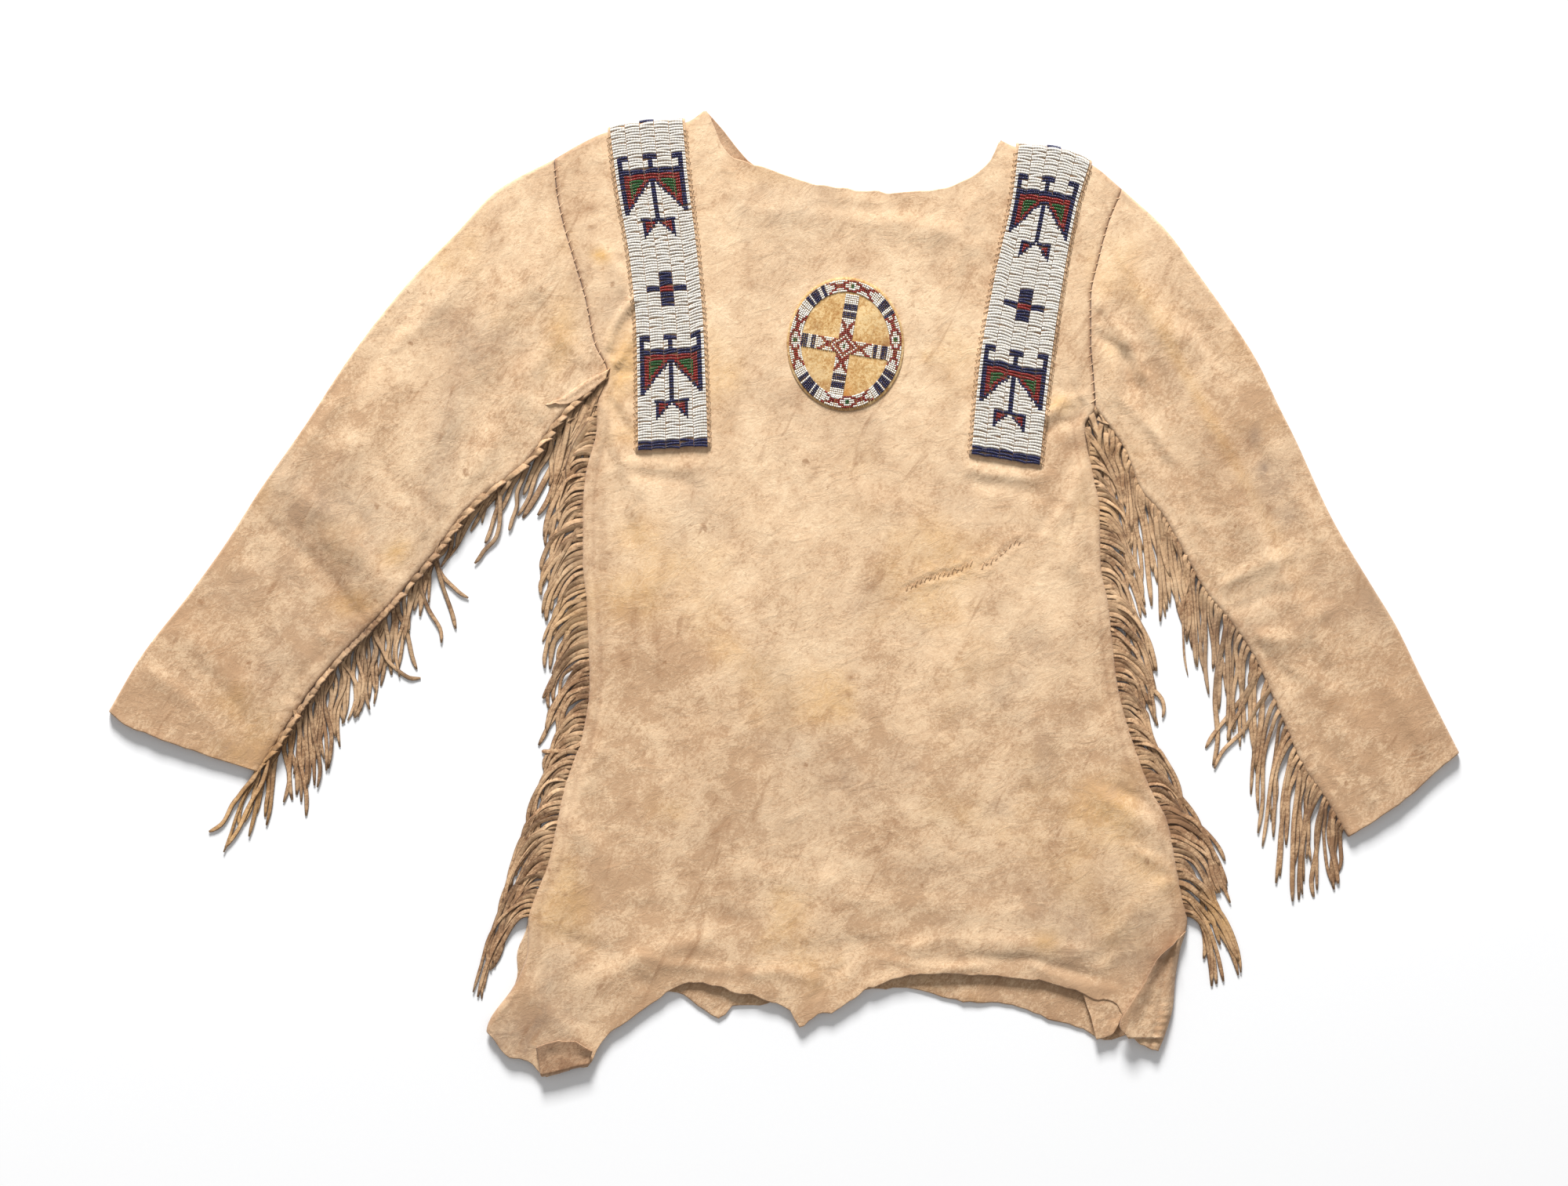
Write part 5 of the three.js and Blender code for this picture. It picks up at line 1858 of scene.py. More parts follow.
@dataclass(frozen=True)
class Strip:
    """A beaded strip that lies on the front, turns over the shoulder and runs on under the back."""

    name: str
    node: str
    # Rows of left x, right x and y, from the lower end to the shoulder
    rows: Rows
    chart: LaneChart
    seed: int
    backing: float = 1.0
    backing_behind: float = 0.3
    fold_radius: float = 2.05
    shoulder_gap: float = 0.6
    margin: float = 1.4
    lower_margin: float = 0.8
    pitch: float = 1.94
    bead_rise: float = 0.4
    behind_scale: float = 0.56
    lane_hump: float = 0.34
    row_arc: float = 0.45
    lane_fill: float = 0.98
    stitch_pitch: float = 3.9
    # Spans across the backing, then points along its front run, its turn and its back run
    spans: tuple[int, int, int, int] = (16, 74, 12, 40)
    # How much higher the lower end is at its right edge
    lean: float = 0.0

    @property
    def width(self) -> float:
        """Width of the strip."""
        return self.rows[0][1] - self.rows[0][0]

    @property
    def run(self) -> float:
        """Length of the strip on the front."""
        return self.rows[-1][2] - self.rows[0][2]

    @property
    def turn(self) -> float:
        """Length of the turn over the shoulder, through the backing's outer face."""
        return np.pi * (self.fold_radius + self.backing)

    def edges(self, y: Array) -> tuple[Array, Array]:
        """Left and right edge at each y."""
        return columns_curve(self.rows, 2, 0)(y), columns_curve(self.rows, 2, 1)(y)

    def place(self, across: Array, along: Array, rise: Array | float, under: bool = False) -> Array:
        """Where a point of the strip lies.

        Args:
            across: fraction from the left edge.
            along: millimetres from the lower end, over the shoulder and down the back.
            rise: height above the backing's outer face.
            under: whether to give the backing's inner face.

        Returns:
            Points by 3, in millimetres.
        """
        end, shoulder = self.rows[0][2], self.rows[-1][2]
        turned = np.clip((along - self.run) / self.turn, 0, 1)
        run = np.where(along <= self.run, along, 2 * self.run + self.turn - along) / self.run
        run = np.where((turned > 0) & (turned < 1), 1.0, run)
        angle = np.pi / 2 - np.pi * turned
        left, right = self.edges(mix(end, shoulder, run))
        x = mix(left, right, across)
        y = mix(end + self.lean * across, PLAN.shoulder(x) + self.shoulder_gap, run)
        if under:
            reach = np.full(np.shape(x), self.fold_radius)
        else:
            thick = mix(self.backing, self.backing_behind, turned)
            reach = self.fold_radius + thick + rise * mix(1.0, self.behind_scale, turned)
        rest = FRONT.creases.height(x, y) * (1 - ease(run, 0.9, 1)) * (along < self.run)
        level = FRONT_TOP + SEAM_GAP - self.fold_radius
        z = level + reach * np.sin(angle) + np.clip(rest, -0.2, 3)
        return np.stack([x, y + reach * np.cos(angle), z], axis=-1)

    def backing_piece(self, finishes: Finishes) -> Piece:
        """The strip's hide backing.

        Args:
            finishes: the shirt's materials.

        Returns:
            The backing.
        """
        across, on_front, on_turn, behind = self.spans
        across = edge_spacing(across, (0.008, 0.02))
        front = np.linspace(0, self.run, on_front)
        turn = self.run + np.linspace(0, self.turn, on_turn)[1:-1]
        back = self.run + self.turn + np.linspace(0, self.run, behind)
        u, along = paired(across, np.concatenate([front, turn, back]))
        wave = 0.35 * ripple(along, 9, self.seed)
        u = u + wave / self.width * np.sign(u - 0.5) * (np.abs(u - 0.5) > 0.47)
        edge = np.minimum(u, 1 - u) * self.width
        rise = 0.12 * lattice(along, u * 50, 6, self.seed + 1) - 0.25 * np.exp(-edge / 0.6)
        outer = self.place(u, along, rise)
        inner = self.place(u, along, 0, under=True)
        outer[..., 2] = np.maximum(outer[..., 2], ABOVE_FLOOR)
        # Painted shade where the beads cover the backing; lighter along its open edges
        grime = 0.7 - 0.45 * bell(edge, 1.1)
        return hide_shell(f"{self.name}_backing", outer, inner, finishes.hide, grime, 0.5, bulge=0.2)

    def group(self, rows: Array, rings: int, seed: int) -> BeadGroup:
        """Beads of some rows.

        Args:
            rows: numbers of the rows from the lower end of the front.
            rings: rings of points in a bead.
            seed: which unevenness.

        Returns:
            Points, faces, paint and materials, as bead_group gives them.
        """
        random = np.random.default_rng(seed)
        chart = self.chart
        row, lane = paired(rows, np.arange(chart.lanes))
        shift = random.normal(0, 0.17, row.shape) + 0.25 * lattice(row * 1.0, lane * 9.0, 7, seed)
        shift = shift + self.pitch * random.uniform(-0.22, 0.22, chart.lanes)[lane]
        tilt = random.normal(0, 0.3, row.shape)
        lift = np.abs(random.normal(0, 0.09, row.shape))
        wide = 1 + random.normal(0, 0.008, row.shape)
        at_row, at_lane, shift, tilt, lift, wide = (
            value[..., None, None] for value in (row, lane, shift, tilt, lift, wide)
        )
        bead = np.arange(chart.lane_beads)
        within = ((bead + 0.5) / chart.lane_beads - 0.5)[:, None]
        offsets, quads, pit_shade = half_barrels(rings)
        length = (self.width - 2 * self.margin) / chart.columns
        here = within * wide + offsets[:, 0] / chart.lane_beads * 0.96
        across_mm = self.margin + (at_lane + 0.5 + here * self.lane_fill) * length * chart.lane_beads
        hump = 1 - (2 * here) ** 2
        size = 1.06 * self.pitch / 2 * (1 + random.normal(0, 0.03, (*row.shape, chart.lane_beads)))[..., None]
        along = self.lower_margin + (at_row + 0.5) * self.pitch + shift
        along = along + tilt * 2 * here + self.row_arc * (hump - 0.5) + offsets[:, 1] * size
        rise = self.bead_rise + self.lane_hump * hump + lift + 0.62 * offsets[:, 2] * size
        rise = np.where(offsets[:, 2] < 0.01, 0.0, rise)
        points = self.place(across_mm / self.width, along, rise)
        points[..., 2] = np.maximum(points[..., 2], ABOVE_FLOOR)
        half = int((self.run + self.turn / 2 - self.lower_margin) / self.pitch)
        mirrored = np.where(row > half, 2 * half - row, row)
        column = lane[..., None] * chart.lane_beads + bead
        colours = chart.colours(np.broadcast_to(mirrored[..., None], column.shape), column)
        return bead_group(points.reshape(-1, len(offsets), 3), quads, pit_shade, colours.ravel(), seed)

    def build(self, finishes: Finishes) -> list[Piece]:
        """Builds and dresses the strip.

        Args:
            finishes: the shirt's materials.

        Returns:
            Its backing, its beads and the stitches along its edges.
        """
        total = int((2 * self.run + self.turn - 2 * self.lower_margin) / self.pitch)
        shown = int((self.run + self.turn * 0.8) / self.pitch)
        beads = joined_beads(self.name, [
            self.group(np.arange(shown), 4, self.seed),
            self.group(np.arange(shown, total), 2, self.seed + 1),
        ], finishes)
        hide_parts(self.node)
        backing = self.backing_piece(finishes)
        stitches = self.stitches(finishes)
        return [beads, backing, stitches]

    def stitches(self, finishes: Finishes) -> Piece:
        """Whip stitches of sinew over both edges.

        Args:
            finishes: the shirt's materials.

        Returns:
            The stitches.
        """
        random = np.random.default_rng(self.seed + 5)
        along = np.arange(3.0, self.run - 1.5, self.stitch_pitch)
        paths = []
        for from_left in (True, False):
            place = along + random.normal(0, 0.35, along.shape)
            reach = WHIP_STITCH[:, 0] * (1 + random.normal(0, 0.1, along.shape))[:, None] / self.width
            share = reach if from_left else 1 - reach
            slant = place[:, None] + WHIP_STITCH[:, 1] * 0.8
            paths.append(self.place(share, slant, np.broadcast_to(WHIP_STITCH[:, 2], share.shape)))
        every = np.concatenate(paths)
        even = np.ones(every.shape[:2])
        piece = tubes(f"{self.name}_stitches", every, 0.5 * even, 0.45 * even, 0 * even, 5)
        piece.data.materials.append(finishes.sinew)
        return piece


FRONT = FrontPanel()
BACK = BackPanel()
STRIPS = (
    Strip(
        "bead_strip_left", "strip_left",
        ((-100, -50, 95.2), (-101, -53, 173), (-105, -57, 222), (-115, -64, 284), (-119, -67, 318)),
        LaneChart(), 211, lean=3.0,
    ),
    Strip(
        "bead_strip_right", "strip_right",
        ((125, 174, 93), (131, 181, 155), (140, 188, 205), (153, 199, 266), (157, 208, 300)),
        LaneChart(figures=((9, 28), (67, 30)), crosses=(47, 107), cross_rows=11), 223, lean=-8.5,
    ),
)


@dataclass(frozen=True)
class Rosette:
    """An oval of ochre hide with a beaded ring and a beaded cross."""

    centre: tuple[float, float] = (41.5, 168)
    radii: tuple[float, float] = (39.5, 45)
    level: float = FRONT_TOP + 0.35
    thickness: float = 0.9
    ring_outer: float = 0.963
    ring_beads: int = 6
    ring_rows: int = 176
    bead: float = 1.36
    arm_beads: int = 7
    turn: float = -0.165
    hub: tuple[float, float] = (40.6, 166.4)
    seeds: tuple[int, int] = (31, 57)
    bead_seeds: tuple[int, int] = (41, 43)
    # Angles in degrees of the crossed motifs and of the groups of navy bars, with the bars in each
    motifs: Sequence[float] = (82, 4, -88, 176)
    bars: Sequence[tuple[float, int]] = ((124, 3), (40, 2), (-41, 3), (-136, 3))

    def ground(self, finishes: Finishes) -> Piece:
        """The oval of hide.

        Args:
            finishes: the shirt's materials.

        Returns:
            The disc.
        """
        count = 61
        u, v = paired(np.linspace(-1, 1, count), np.linspace(-1, 1, count))
        disc_x, disc_y = u * np.sqrt(1 - v * v / 2), v * np.sqrt(1 - u * u / 2)
        wobble = 1 + 0.007 * ripple(20 * np.arctan2(disc_y, disc_x), 9, 3)
        x = self.centre[0] + disc_x * self.radii[0] * wobble
        y = self.centre[1] + disc_y * self.radii[1] * wobble
        away = np.hypot(disc_x, disc_y)
        top = self.level + self.thickness * (1 - 0.5 * ease(away, 0.97, 1.0))
        top = top + 0.22 * layered(x, y, 11, 15) * ease(1 - away, 0.02, 0.2) + 0.3 * (1 - away**2)
        outer, inner = grid(x, y, top), grid(x, y, np.full(x.shape, self.level))
        # Painted shade under the beaded ring, and a little darker all over
        grime = 0.5 * ease(away, 0.7, 0.95) * (1 - ease(away, 0.965, 0.985)) + 0.1
        return hide_shell("rosette_hide", outer, inner, finishes.ochre, grime, 0.3, bulge=0.25, fibre=0.5)

    def motif(self, offset: Array, off_middle: Array) -> Array:
        """Colours of a diamond between two crossed lines on the ring.

        Args:
            offset: rows from its middle.
            off_middle: beads from the ring's middle.

        Returns:
            The colour of each bead, or -1 beside the motif.
        """
        away = np.abs(offset)
        open_line = np.abs(away - 7.6 - 2.1 * off_middle) < 1.4
        diamond = np.abs(away - 6.6 + 2.1 * off_middle) < 1.7
        heart = (away < 0.9) & (off_middle < 1)
        return np.select([heart, open_line | diamond], [Bead.GREEN, Bead.RED], -1)

    def rows_from(self, turn: Array, degrees: float) -> Array:
        """Rows from a place on the ring to each turn."""
        return ((np.degrees(turn) - degrees + 180) % 360 / 360 - 0.5) * self.ring_rows

    def ring(self) -> BeadGroup:
        """Radial rows of beads round the edge.

        Returns:
            The beads, as bead_group gives them.
        """
        random = np.random.default_rng(self.seeds[0])
        angle = 2 * np.pi * (np.arange(self.ring_rows) + 0.5) / self.ring_rows
        angle = angle + random.normal(0, 0.0035, angle.shape)
        row, bead = paired(np.arange(self.ring_rows), np.arange(self.ring_beads))
        turn = angle[row]
        cos, sin = np.cos(turn), np.sin(turn)
        edge = self.ring_outer * np.stack([self.radii[0] * cos, self.radii[1] * sin], axis=-1)
        unit = edge / np.linalg.norm(edge, axis=-1, keepdims=True)
        inward = (self.ring_beads - bead - 0.5) * self.bead
        place = edge - unit * inward[..., None]
        off_middle = np.abs(bead - (self.ring_beads - 1) / 2)
        colours = np.full(row.shape, int(Bead.WHITE))
        for degrees in self.motifs:
            found = self.motif(self.rows_from(turn, degrees), off_middle)
            colours = np.where(found >= 0, found, colours)
        for degrees, count in self.bars:
            offset = self.rows_from(turn, degrees)
            middle = np.abs(offset) < 2.1
            beside = (np.abs(offset) > 3.4) & (np.abs(offset) < 5.9) & ((count > 2) | (offset < 0))
            colours = np.where(middle | beside, int(Bead.NAVY), colours)
        return self.laid(place, unit, colours, self.bead_seeds[0])

    def arms(self) -> BeadGroup:
        """The two beaded bars that cross in the middle.

        Returns:
            The beads, as bead_group gives them.
        """
        places, units, colours = [], [], []
        random = np.random.default_rng(self.seeds[1])
        for quarter, radius in ((0, 30.6), (1, 36.0)):
            turn = quarter * np.pi / 2 + self.turn
            unit = np.array([np.cos(turn), np.sin(turn)])
            side = square_to(unit)
            rows = int(2 * radius / self.bead)
            row, bead = paired(np.arange(rows), np.arange(self.arm_beads))
            along = row - (rows - 1) / 2
            off = bead - (self.arm_beads - 1) / 2
            kept = np.ones(row.shape, bool) if quarter else np.abs(along) > self.arm_beads / 2
            wander = random.normal(0, 0.07, rows)[row]
            place = (along * self.bead + wander)[..., None] * unit
            place = place + (off * self.bead * 0.98)[..., None] * side
            away = np.abs(along)
            crossed = np.abs(away - 8.2 - 1.25 * np.abs(off)) < 1.2
            hub = (np.abs(away + np.abs(off) - 4.0) < 1.1) | (np.abs(away + np.abs(off) - 7.0) < 0.7)
            line = (np.abs(away - 8.2 + 1.25 * np.abs(off)) < 1.3) & (away > 4)
            heart = away + np.abs(off) < 1.1
            navy = (np.abs(away - 15.4) < 1.1) | (np.abs(away - 19.6) < 1.6)
            chosen = [heart, hub | crossed | line, navy]
            bead_colours = np.select(chosen, [Bead.GREEN, Bead.RED, Bead.NAVY], Bead.WHITE)
            places.append(place[kept] + np.array(self.hub) - np.array(self.centre))
            units.append(np.broadcast_to(side, place.shape)[kept])
            colours.append(bead_colours[kept])
        place, unit, colour = (np.concatenate(found) for found in (places, units, colours))
        return self.laid(place, unit, colour, self.bead_seeds[1])

    def laid(self, place: Array, unit: Array, colours: Array, seed: int) -> BeadGroup:
        """Lays beads flat on the oval.

        Args:
            place: middles of the beads from the oval's centre.
            unit: directions of their holes.
            colours: their colours.
            seed: which unevenness.

        Returns:
            Points, faces, paint and materials, as bead_group gives them.
        """
        random = np.random.default_rng(seed)
        place, unit, colours = place.reshape(-1, 2), unit.reshape(-1, 2), colours.ravel()
        place = place + random.normal(0, 0.05, place.shape)
        side = square_to(unit)
        offsets, quads, pit_shade = half_barrels(4)
        size = self.bead * (1 + random.normal(0, 0.05, len(place)))[:, None, None]
        flat = place[:, None, :] + unit[:, None, :] * offsets[None, :, :1] * size * 0.92
        flat = flat + side[:, None, :] * offsets[None, :, 1:2] * size * 0.47
        away = np.hypot(place[:, 0] / self.radii[0], place[:, 1] / self.radii[1])
        base = self.level + self.thickness + 0.15 + 0.2 * (1 - away**2)
        z = base[:, None] + offsets[None, :, 2] * size[..., 0] * 0.5 - 0.2 * (offsets[None, :, 2] < 0.01)
        points = np.concatenate([flat + np.array(self.centre), z[..., None]], axis=2)
        return bead_group(points, quads, pit_shade, colours, seed)

    def build(self, finishes: Finishes) -> list[Piece]:
        """Builds and dresses the rosette.

        Args:
            finishes: the shirt's materials.

        Returns:
            Its beads and its ground.
        """
        beads = joined_beads("rosette_beads", [self.ring(), self.arms()], finishes)
        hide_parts("rosette")
        ground = self.ground(finishes)
        return [beads, ground]


# Fringe, flaps and seams


@dataclass(frozen=True)
class Fringe:
    """Thongs of one seam, cut from a welt and hanging over each other."""

    name: str
    node: str
    # Points of x and y along the seam, from the underarm
    seam: Rows
    side: Side
    # Rows of place along the seam, tip x and y from the root, and how far a thong leads out
    reach: Rows
    thongs: int
    seed: int
    # Rows of root x and y, tip x and y, lead x and y and width of thongs that lie by themselves
    loose: Rows = ()
    width: float = 3.6
    thick: float = 1.35
    stations: int = 22
    root_inside: float = 2.2
    root_level: float = 2.5
    tip_level: float = 0.72
    spread: float = 0.22
    stray: float = 5.0
    sway: float = 1.0
    # How strongly grime and painted shade darken the thongs
    grime: float = 1.0
    # Whether each thong turns over the seam's edge before it hangs
    wrapped: bool = False

    def bezier(self, controls: Sequence[Array], t: Array) -> Array:
        """Points of cubic curves, curves by stations by 2.

        Args:
            controls: the four control points of each curve.
            t: fractions along.

        Returns:
            The points.
        """
        p0, p1, p2, p3 = (control[:, None, :] for control in controls)
        f = t[None, :, None]
        return (1 - f) ** 3 * p0 + 3 * f * (1 - f) ** 2 * p1 + 3 * f * f * (1 - f) * p2 + f**3 * p3

    def seam_points(self, along: Array) -> tuple[Array, Array]:
        """Places on the seam and directions out of it.

        Args:
            along: fractions along the seam.

        Returns:
            The places and the directions.
        """
        seam = walk(self.seam, 0, 1)
        here = np.stack(seam(along), axis=1)
        ahead = np.stack(seam(np.clip(along + 0.01, 0, 1)), axis=1)
        behind = np.stack(seam(np.clip(along - 0.01, 0, 1)), axis=1)
        run = ahead - behind
        run /= np.linalg.norm(run, axis=1, keepdims=True)
        turn = self.side if self.node.startswith("fringe_side") else -1
        return here, turn * square_to(run)

    def build(self, finishes: Finishes) -> Piece:
        """Builds and dresses the fringe.

        Args:
            finishes: the shirt's materials.

        Returns:
            All the seam's thongs in one piece.
        """
        random = np.random.default_rng(self.seed)
        t, count = np.linspace(0, 1, self.stations), self.thongs
        along = np.clip((np.arange(count) + 0.5) / count + random.normal(0, 0.12 / count, count), 0, 1)
        here, out = self.seam_points(along)
        length = 1 + self.spread * random.uniform(-1, 0.8, count)
        drop_x, drop_y, lead = (columns_curve(self.reach, 0, column)(along) for column in (1, 2, 3))
        lead = lead * (1 + random.normal(0, 0.18, count))
        clumps = self.stray * ripple(along * count, 3.8, self.seed)
        tip = np.stack([drop_x * length + clumps, drop_y * length + 0.3 * clumps], axis=1)
        tip = tip + random.normal(0, 1, tip.shape) * (2.6, 1.8)
        on_top = (np.arange(count) % 3 != 1) & self.wrapped
        inside = self.root_inside + 1.4 * on_top[:, None]
        slant = np.array([4.6, 7.2]) * on_top[:, None]
        root = here - out * inside + slant
        second = root - 1.5 * slant + out * (lead[:, None] + inside) * (1 - 0.6 * self.wrapped)
        third = root + tip * np.array([0.78, 0.42]) + out * (0.25 * lead)[:, None]
        third = third + random.normal(0, 1, third.shape) * (2.2, 2.2)
        widths = self.width * (1 + random.normal(0, 0.13, count))
        if self.loose:
            rows = np.array(self.loose)
            rows[:, 0:2] += np.array([-3.0, 3.0]) * self.wrapped
            starts, ends, leads = rows[:, 0:2], rows[:, 2:4], rows[:, 0:2] + rows[:, 4:6]
            root, second, third, tip, widths, on_top = (np.concatenate(pair) for pair in (
                (root, starts), (second, leads), (third, leads * 0.45 + ends * 0.55), (tip, ends - starts),
                (widths, rows[:, 6]), (on_top, np.zeros(len(rows), bool)),
            ))
        count = len(widths)
        number, top = np.arange(count)[:, None], on_top[:, None]

        def varied(lengthways: float, across: float, cell: float, seed: int) -> Array:
            """Smooth random values along each thong."""
            return lattice(t * lengthways, number * across, cell, self.seed + seed)

        flat = self.bezier((root, second, third, root + tip), t)
        run = np.gradient(flat, axis=1)
        normal = square_to(run)
        normal /= np.maximum(np.linalg.norm(normal, axis=-1, keepdims=True), 1e-6)
        wave = self.sway * (1.4 + 1.8 * t) * varied(5, 3.7, 1.4, 3)
        flat = flat + normal * (wave * ease(t, 0.15, 0.5))[..., None]
        roll = 0.75 * varied(3, 5.3, 1.3, 7) * (1 - 0.75 * ease(t, 0.45, 0.95)) * ease(t, 0.0, 0.12)
        roll = roll + 0.5 * top * (1 - ease(t, 0.1, 0.25))
        slim = 1 - 0.22 * t - 0.42 * ease(t, 0.9, 1.0) ** 2 + 0.22 * np.exp(-t / 0.1)
        wide = widths[:, None] * (slim + 0.28 * top * (1 - ease(t, 0.12, 0.26)))
        wide = wide * (1 + 0.1 * varied(9, 2.9, 1.0, 9))
        thick = self.thick * (1 - 0.15 * t - 0.4 * ease(t, 0.86, 1)) * np.ones((count, 1))
        level = mix(self.root_level, self.tip_level, ease(t, 0.12, 0.75)) + bell(t - 0.17, 0.16)
        level = level + 0.35 * varied(4, 4.1, 1.1, 11)
        level = level + random.uniform(-0.5, 0.8, count)[:, None] * ease(t, 0.1, 0.4)
        over = FRONT_TOP - 1.6 + 2.3 * ease(t, 0.0, 0.05) - 2.0 * ease(t, 0.13, 0.24)
        start = np.where(top, ease(t, 0.18, 0.3), ease(t, 0.03, 0.06))
        level = mix(np.where(top, over, 2.45), level, start)
        clear = 0.06 + np.abs(wide / 2 * np.sin(roll)) + thick / 2 * np.cos(roll)
        paths = np.concatenate([flat, np.maximum(level, clear)[..., None]], axis=2)
        fringe = tubes(self.name, paths, wide, thick, roll)
        # Painted shade on the sides of each thong, in the slits between thongs, and at the root, where the
        # thongs come out from under the seam; plus a random darkening of each thong
        corner = np.abs(np.cos(2 * np.pi * (np.arange(THONG_SIDES) + 0.5) / THONG_SIDES))
        grime_and_shade = ease(corner, 0.55, 0.95) + (0.45 * np.exp(-t / 0.1))[None, :, None]
        grime_and_shade = grime_and_shade + random.uniform(0, 0.35, count)[:, None, None]
        dress_hide(fringe, finishes.fringe, Slot.FRINGE, self.grime * grime_and_shade.ravel(), fibre=0.25)
        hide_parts(self.node)
        return fringe


def side_seam(side: Side, start: float, end: float) -> Rows:
    """Points of a side seam between two levels."""
    levels = np.linspace(start, end, SEAM_POINTS)
    return tuple(zip(PLAN.edge(side, levels).tolist(), levels.tolist()))


def sleeve_seam(sleeve: Sleeve, start: float, end: float = 0.985) -> Rows:
    """Points of a sleeve's seam between two fractions of its length."""
    x, y = walk(sleeve.rows, 2, 3)(np.linspace(start, end, SEAM_POINTS))
    return tuple(zip((x + sleeve.side * sleeve.gap).tolist(), y.tolist()))


FRINGES = (
    Fringe(
        "thongs_side_left", "fringe_side_left", side_seam(Side.LEFT, 132, -219), Side.LEFT,
        (
            (0, -17, -26, 8), (0.12, -25, -30, 12), (0.3, -27, -34, 13), (0.45, -27, -33, 13),
            (0.65, -28, -36, 13), (0.8, -33, -46, 13), (0.92, -38, -60, 13), (1, -41, -61, 11),
        ), 112, 301,
        loose=(
            (-121, 148, -141, 96, -6, -18, 5), (-125, 146, -152, 104, -8, -12, 6),
            (-123, 142, -136, 84, -8, -14, 5), (-126, 138, -150, 80, -6, -16, 5.5),
            (-140, 134, -168, 92, -6, -14, 5), (-131, 142, -170, 78, -12, -12, 6.5),
            (-129, 134, -176, 50, -10, -20, 5), (-130, 124, -163, 38, -10, -16, 5),
            (-128, 116, -150, 60, -11, -10, 7), (-134, 146, -158, 100, -10, -8, 5),
            (-133, 60, -163, 4, -14, -6, 3.6), (-134, 52, -160, -12, -22, -34, 3.2),
            (-135, -100, -164, -108, -14, -10, 4), (-136, 132, -147, 70, -10, -18, 4.4),
            (-142, 130, -158, 60, -6, -20, 4), (-133, 128, -150, 62, -18, -18, 4),
            (-146, 126, -166, 52, 2, -24, 4.2), (-152, 122, -158, 72, -10, -14, 4),
            (-150, 120, -176, 66, -8, -6, 4.4), (-156, 116, -180, 52, 2, -18, 4),
            (-138, 120, -156, 84, -16, -2, 4), (-130, 112, -154, 88, -8, 6, 3.8),
        ),
    ),
    Fringe(
        "thongs_side_right", "fringe_side_right", side_seam(Side.RIGHT, 112, -219), Side.RIGHT,
        (
            (0, 12, -26, 6), (0.12, 21, -35, 10), (0.3, 27, -42, 12), (0.5, 28, -40, 12),
            (0.65, 28, -38, 12), (0.8, 36, -42, 13), (0.92, 33, -49, 12), (1, 21, -49, 9),
        ), 106, 311,
        loose=(
            (206, 124, 222, 74, 6, -12, 5), (207, 118, 232, 60, 9, -14, 4.6),
            (205, 112, 216, 66, 2, -14, 5.5), (210, 126, 228, 92, 8, -4, 4),
            (206, 106, 236, 44, 12, -12, 4.2), (213, 124, 205, 84, 10, -14, 4),
            (216, 118, 226, 60, -8, -20, 4), (204, 122, 224, 104, 8, 8, 3.8),
            (220, 112, 214, 70, 6, -16, 4), (218, 108, 240, 62, -2, -20, 4),
            (213, 127, 227, 110, 14, 8, 3.4), (217, 129, 207, 108, -10, -2, 3.2),
            (210, 121, 229, 122, 12, 12, 3.2), (223, 118, 208, 116, -8, 12, 3.2),
            (214, 124, 236, 102, 20, 4, 3.4), (212, 118, 226, 128, 16, -10, 3),
        ), grime=0.75,
    ),
    Fringe(
        "thongs_sleeve_left", "fringe_sleeve_left", sleeve_seam(SLEEVES[0], 0.02), Side.LEFT,
        (
            (0, -30, -36, 5), (0.12, -36, -42, 5), (0.28, -36, -46, 5), (0.4, -22, -54, 6),
            (0.48, -4, -56, 6), (0.6, -10, -58, 6), (0.75, -8, -64, 6), (0.88, -8, -60, 6),
            (1, -26, -52, 8),
        ), 86, 321, wrapped=True, sway=1.5,
        loose=(
            (-330, -76, -323, -151, 5, -10, 3.8), (-262, -4, -249, -52, 5, -6, 3.8),
            (-236, 25, -221, -24, 5, -8, 3.6), (-300, -44, -285, -80, 6, -8, 3.8),
            (-352, -118, -390, -161, -2, -16, 3.8), (-346, -108, -377, -173, 3, -20, 3.8),
            (-236, 24, -232, -34, -14, -20, 3.6), (-274, -18, -246, -58, -2, -28, 3.6),
            (-268, -12, -268, -50, 2, -16, 3.4), (-226, 38, -216, -6, -16, -18, 3.4),
            (-170, 84, -186, 42, -8, -20, 3.6), (-178, 78, -204, 34, -10, -12, 3.4),
            (-190, 68, -206, 18, 4, -20, 3.4),
        ), spread=0.26, stray=6.0,
    ),
    Fringe(
        "thongs_sleeve_right", "fringe_sleeve_right", sleeve_seam(SLEEVES[1], 0.04), Side.RIGHT,
        (
            (0, 4, -56, 5), (0.15, 4, -70, 5), (0.3, 5, -66, 5), (0.45, 0, -62, 5), (0.6, -6, -72, 5),
            (0.75, -8, -74, 5), (0.88, -12, -70, 5), (1, -6, -40, 5),
        ), 72, 331,
        loose=(
            (252, 55, 272, -26, -3, -12, 3.8), (300, -20, 291, -117, -5, -16, 4.2),
            (322, -50, 285, -105, -6, -14, 3.8), (331, -62, 291, -119, -8, -10, 3.4),
            (318, -44, 300, -100, 4, -16, 3.4), (372, -150, 375, -197, -3, -10, 4),
            (366, -140, 358, -206, -5, -12, 4), (350, -117, 345, -209, -4, -14, 4),
        ), spread=0.24, stray=8.0, grime=0.65,
    ),
)


